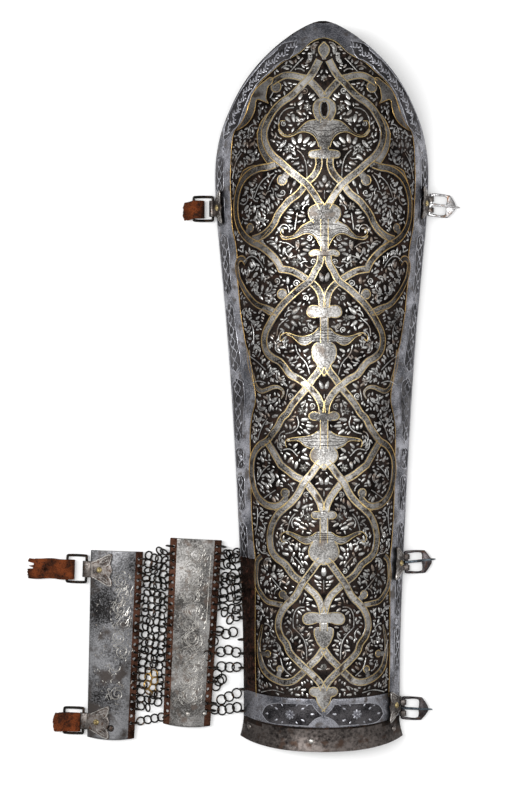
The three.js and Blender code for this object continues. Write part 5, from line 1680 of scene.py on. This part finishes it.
def grow(x, y, heading, curl, steps):
    """Walks one scroll and sets its leaves."""
    stem, planned, held = [(x, y)], [], []
    for k in range(steps):
        heading += curl * (1 + 0.035 * k)
        x, y = off(x, y, STEP, heading)
        if not room(x, y, 1.12, 0.45):
            break
        if any((x - a) ** 2 + (y - b) ** 2 < 1.3 for a, b in stem[:-5]):
            break
        stem.append((x, y))
    if len(stem) < 7:
        return False
    for k in range(1, len(stem) - 1, 4):
        (a, b), (c, d) = stem[k], stem[min(k + 1, len(stem) - 1)]
        run = math.atan2(d - b, c - a)
        for side in (1, -1):
            angle = run + side * 0.85
            length = rng.choice((1.0, 0.85, 0.7))
            spots = [off(a, b, far * length, angle) for far in (1.5, 2.9)]
            if room(*spots[0], 1.05, 0.5) and room(*spots[1], 0.9, 0.4):
                planned.append((a, b, angle, length))
                held += [(*spots[0], 0.55), (*spots[1], 0.35)]
    for spot in held:
        put(*spot)
    for a, b in stem[::2]:
        put(a, b, 0.25)
    lay_wire(foliage, [(a, b) for a, b in stem[::2]], False, 0.3, STALK)
    for a, b, angle, length in planned:
        set_flat(foliage, LEAF_KINDS[0], a, b, angle, 0.0, length)
    a, b = stem[-1]
    set_flat(foliage, bud, a, b, 0, 0.1, 0.9)
    return True


scrolls = 0
for _ in range(SCROLL_TRIES):
    x, y = rng.uniform(-58, -0.8), rng.uniform(BAND_HIGH, 322)
    if room(x, y, 1.3, 0.9):
        curl = rng.choice((-1, 1)) * rng.uniform(0.12, 0.2)
        scrolls += grow(x, y, rng.uniform(0, math.tau), curl, rng.randint(14, 30))
singles = 0
for _ in range(SINGLE_TRIES):
    x, y = rng.uniform(-58, -0.6), rng.uniform(BAND_HIGH, 324)
    angle = 2.5 * math.sin(x / 9 + 1.3) + 2.2 * math.cos(y / 10) + rng.uniform(-0.7, 0.7)
    size = rng.uniform(0.5, 0.8)
    ends = [off(x, y, way * size, angle) for way in (-1, 1)]
    if not (room(x, y, 1.0, 0.6) and all(room(*spot, 0.85, 0.45) for spot in ends)):
        continue
    set_flat(foliage, LEAF_KINDS[rng.randrange(3)], *off(x, y, -1.7 * size, angle), angle, 0.0, size)
    for spot in ends + [(x, y)]:
        put(*spot, 0.35)
    singles += 1
print(scrolls, "scrolls,", singles, "single leaves,", len(foliage.faces), "faces")

# %% [markdown]
# Each half is copied across the axis, and the whole ornament is bent onto the plate. The border
# beside the mail is rusted.

# %% Mirrored and laid on the plate
AXIS_ASIDE = 0.4
RUST_TOP = at_dot(556)
for bm, name, slot, coats in ((relief, "interlaced_strap_relief", "chiselled_steel", [STRAP, CHANNEL]),
                              (gold, "gold_inlay_lines", "brass_rivet", [GOLD]),
                              (border, "blued_border_strip", "chiselled_steel", [BORDER, RUSTED]),
                              (sunk, "border_panel_ground", "chiselled_steel", [PANEL, RUSTED]),
                              (flow, "palmette_flow_lines", "chiselled_steel", [GROUND]),
                              (vine, "border_vine_relief", "chiselled_steel", [BORDER_LEAF, RUSTED]),
                              (foliage, "carved_scroll_leaves", "chiselled_steel", [LEAF])):
    other_half = bmesh.new()
    add(other_half, bm, Matrix.Scale(-1, 4, (1, 0, 0)))
    add(bm, other_half)
    if RUSTED in coats:
        for face in bm.faces:
            middle = face.calc_center_median()
            if middle.x < 0 and BAND_HIGH < middle.y < RUST_TOP:
                face.material_index = 1
    bend(bm, lambda x, y, height: on_plate(x + AXIS_ASIDE, y, height))
    hand_over(bm, name, "forearm", (), coats)
for helper in (strap_section, channel_section, gold_section):
    discard(helper)

# %% [markdown]
# A pale floor and soft light from above: a level world, one broad lamp high on the left, which
# draws the long highlight beside the crown, and a weak one on the right.

# %% Floor and light
PAPER, PAPER_ROUGH, SKY = 0.93, 0.95, 0.62
floor_mesh = bmesh.new()
bmesh.ops.create_grid(floor_mesh, x_segments=1, y_segments=1, size=3.0)
floor = linked("floor", mesh_from(floor_mesh, "floor"))
paper = bpy.data.materials.new("white_paper_floor")
paper.use_nodes = True
shader = paper.node_tree.nodes["Principled BSDF"]
shader.inputs["Base Color"].default_value = (PAPER, PAPER, PAPER, 1)
shader.inputs["Roughness"].default_value = PAPER_ROUGH
floor.data.materials.append(paper)

world = bpy.data.worlds.new("studio")
bpy.context.scene.world = world
world.use_nodes = True
sky = world.node_tree.nodes["Background"]
sky.inputs[0].default_value = (1, 1, 1, 1)
sky.inputs[1].default_value = SKY


def lamp(name, size, energy, spot):
    """A broad lamp that faces the middle of the floor."""
    data = bpy.data.lights.new(name, "AREA")
    data.shape = "RECTANGLE"
    data.size, data.size_y = size
    data.energy = energy
    made = linked(name, data)
    made.location = spot
    made.rotation_euler = (-Vector(spot)).to_track_quat("-Z", "Y").to_euler()


lamp("long_lamp_left", (0.2, 1.0), 8.0, (-0.3, 0.05, 0.92))
lamp("soft_lamp_right", (0.5, 1.0), 3.0, (0.8, 0.0, 0.9))
bpy.context.scene.view_settings.view_transform = "Standard"
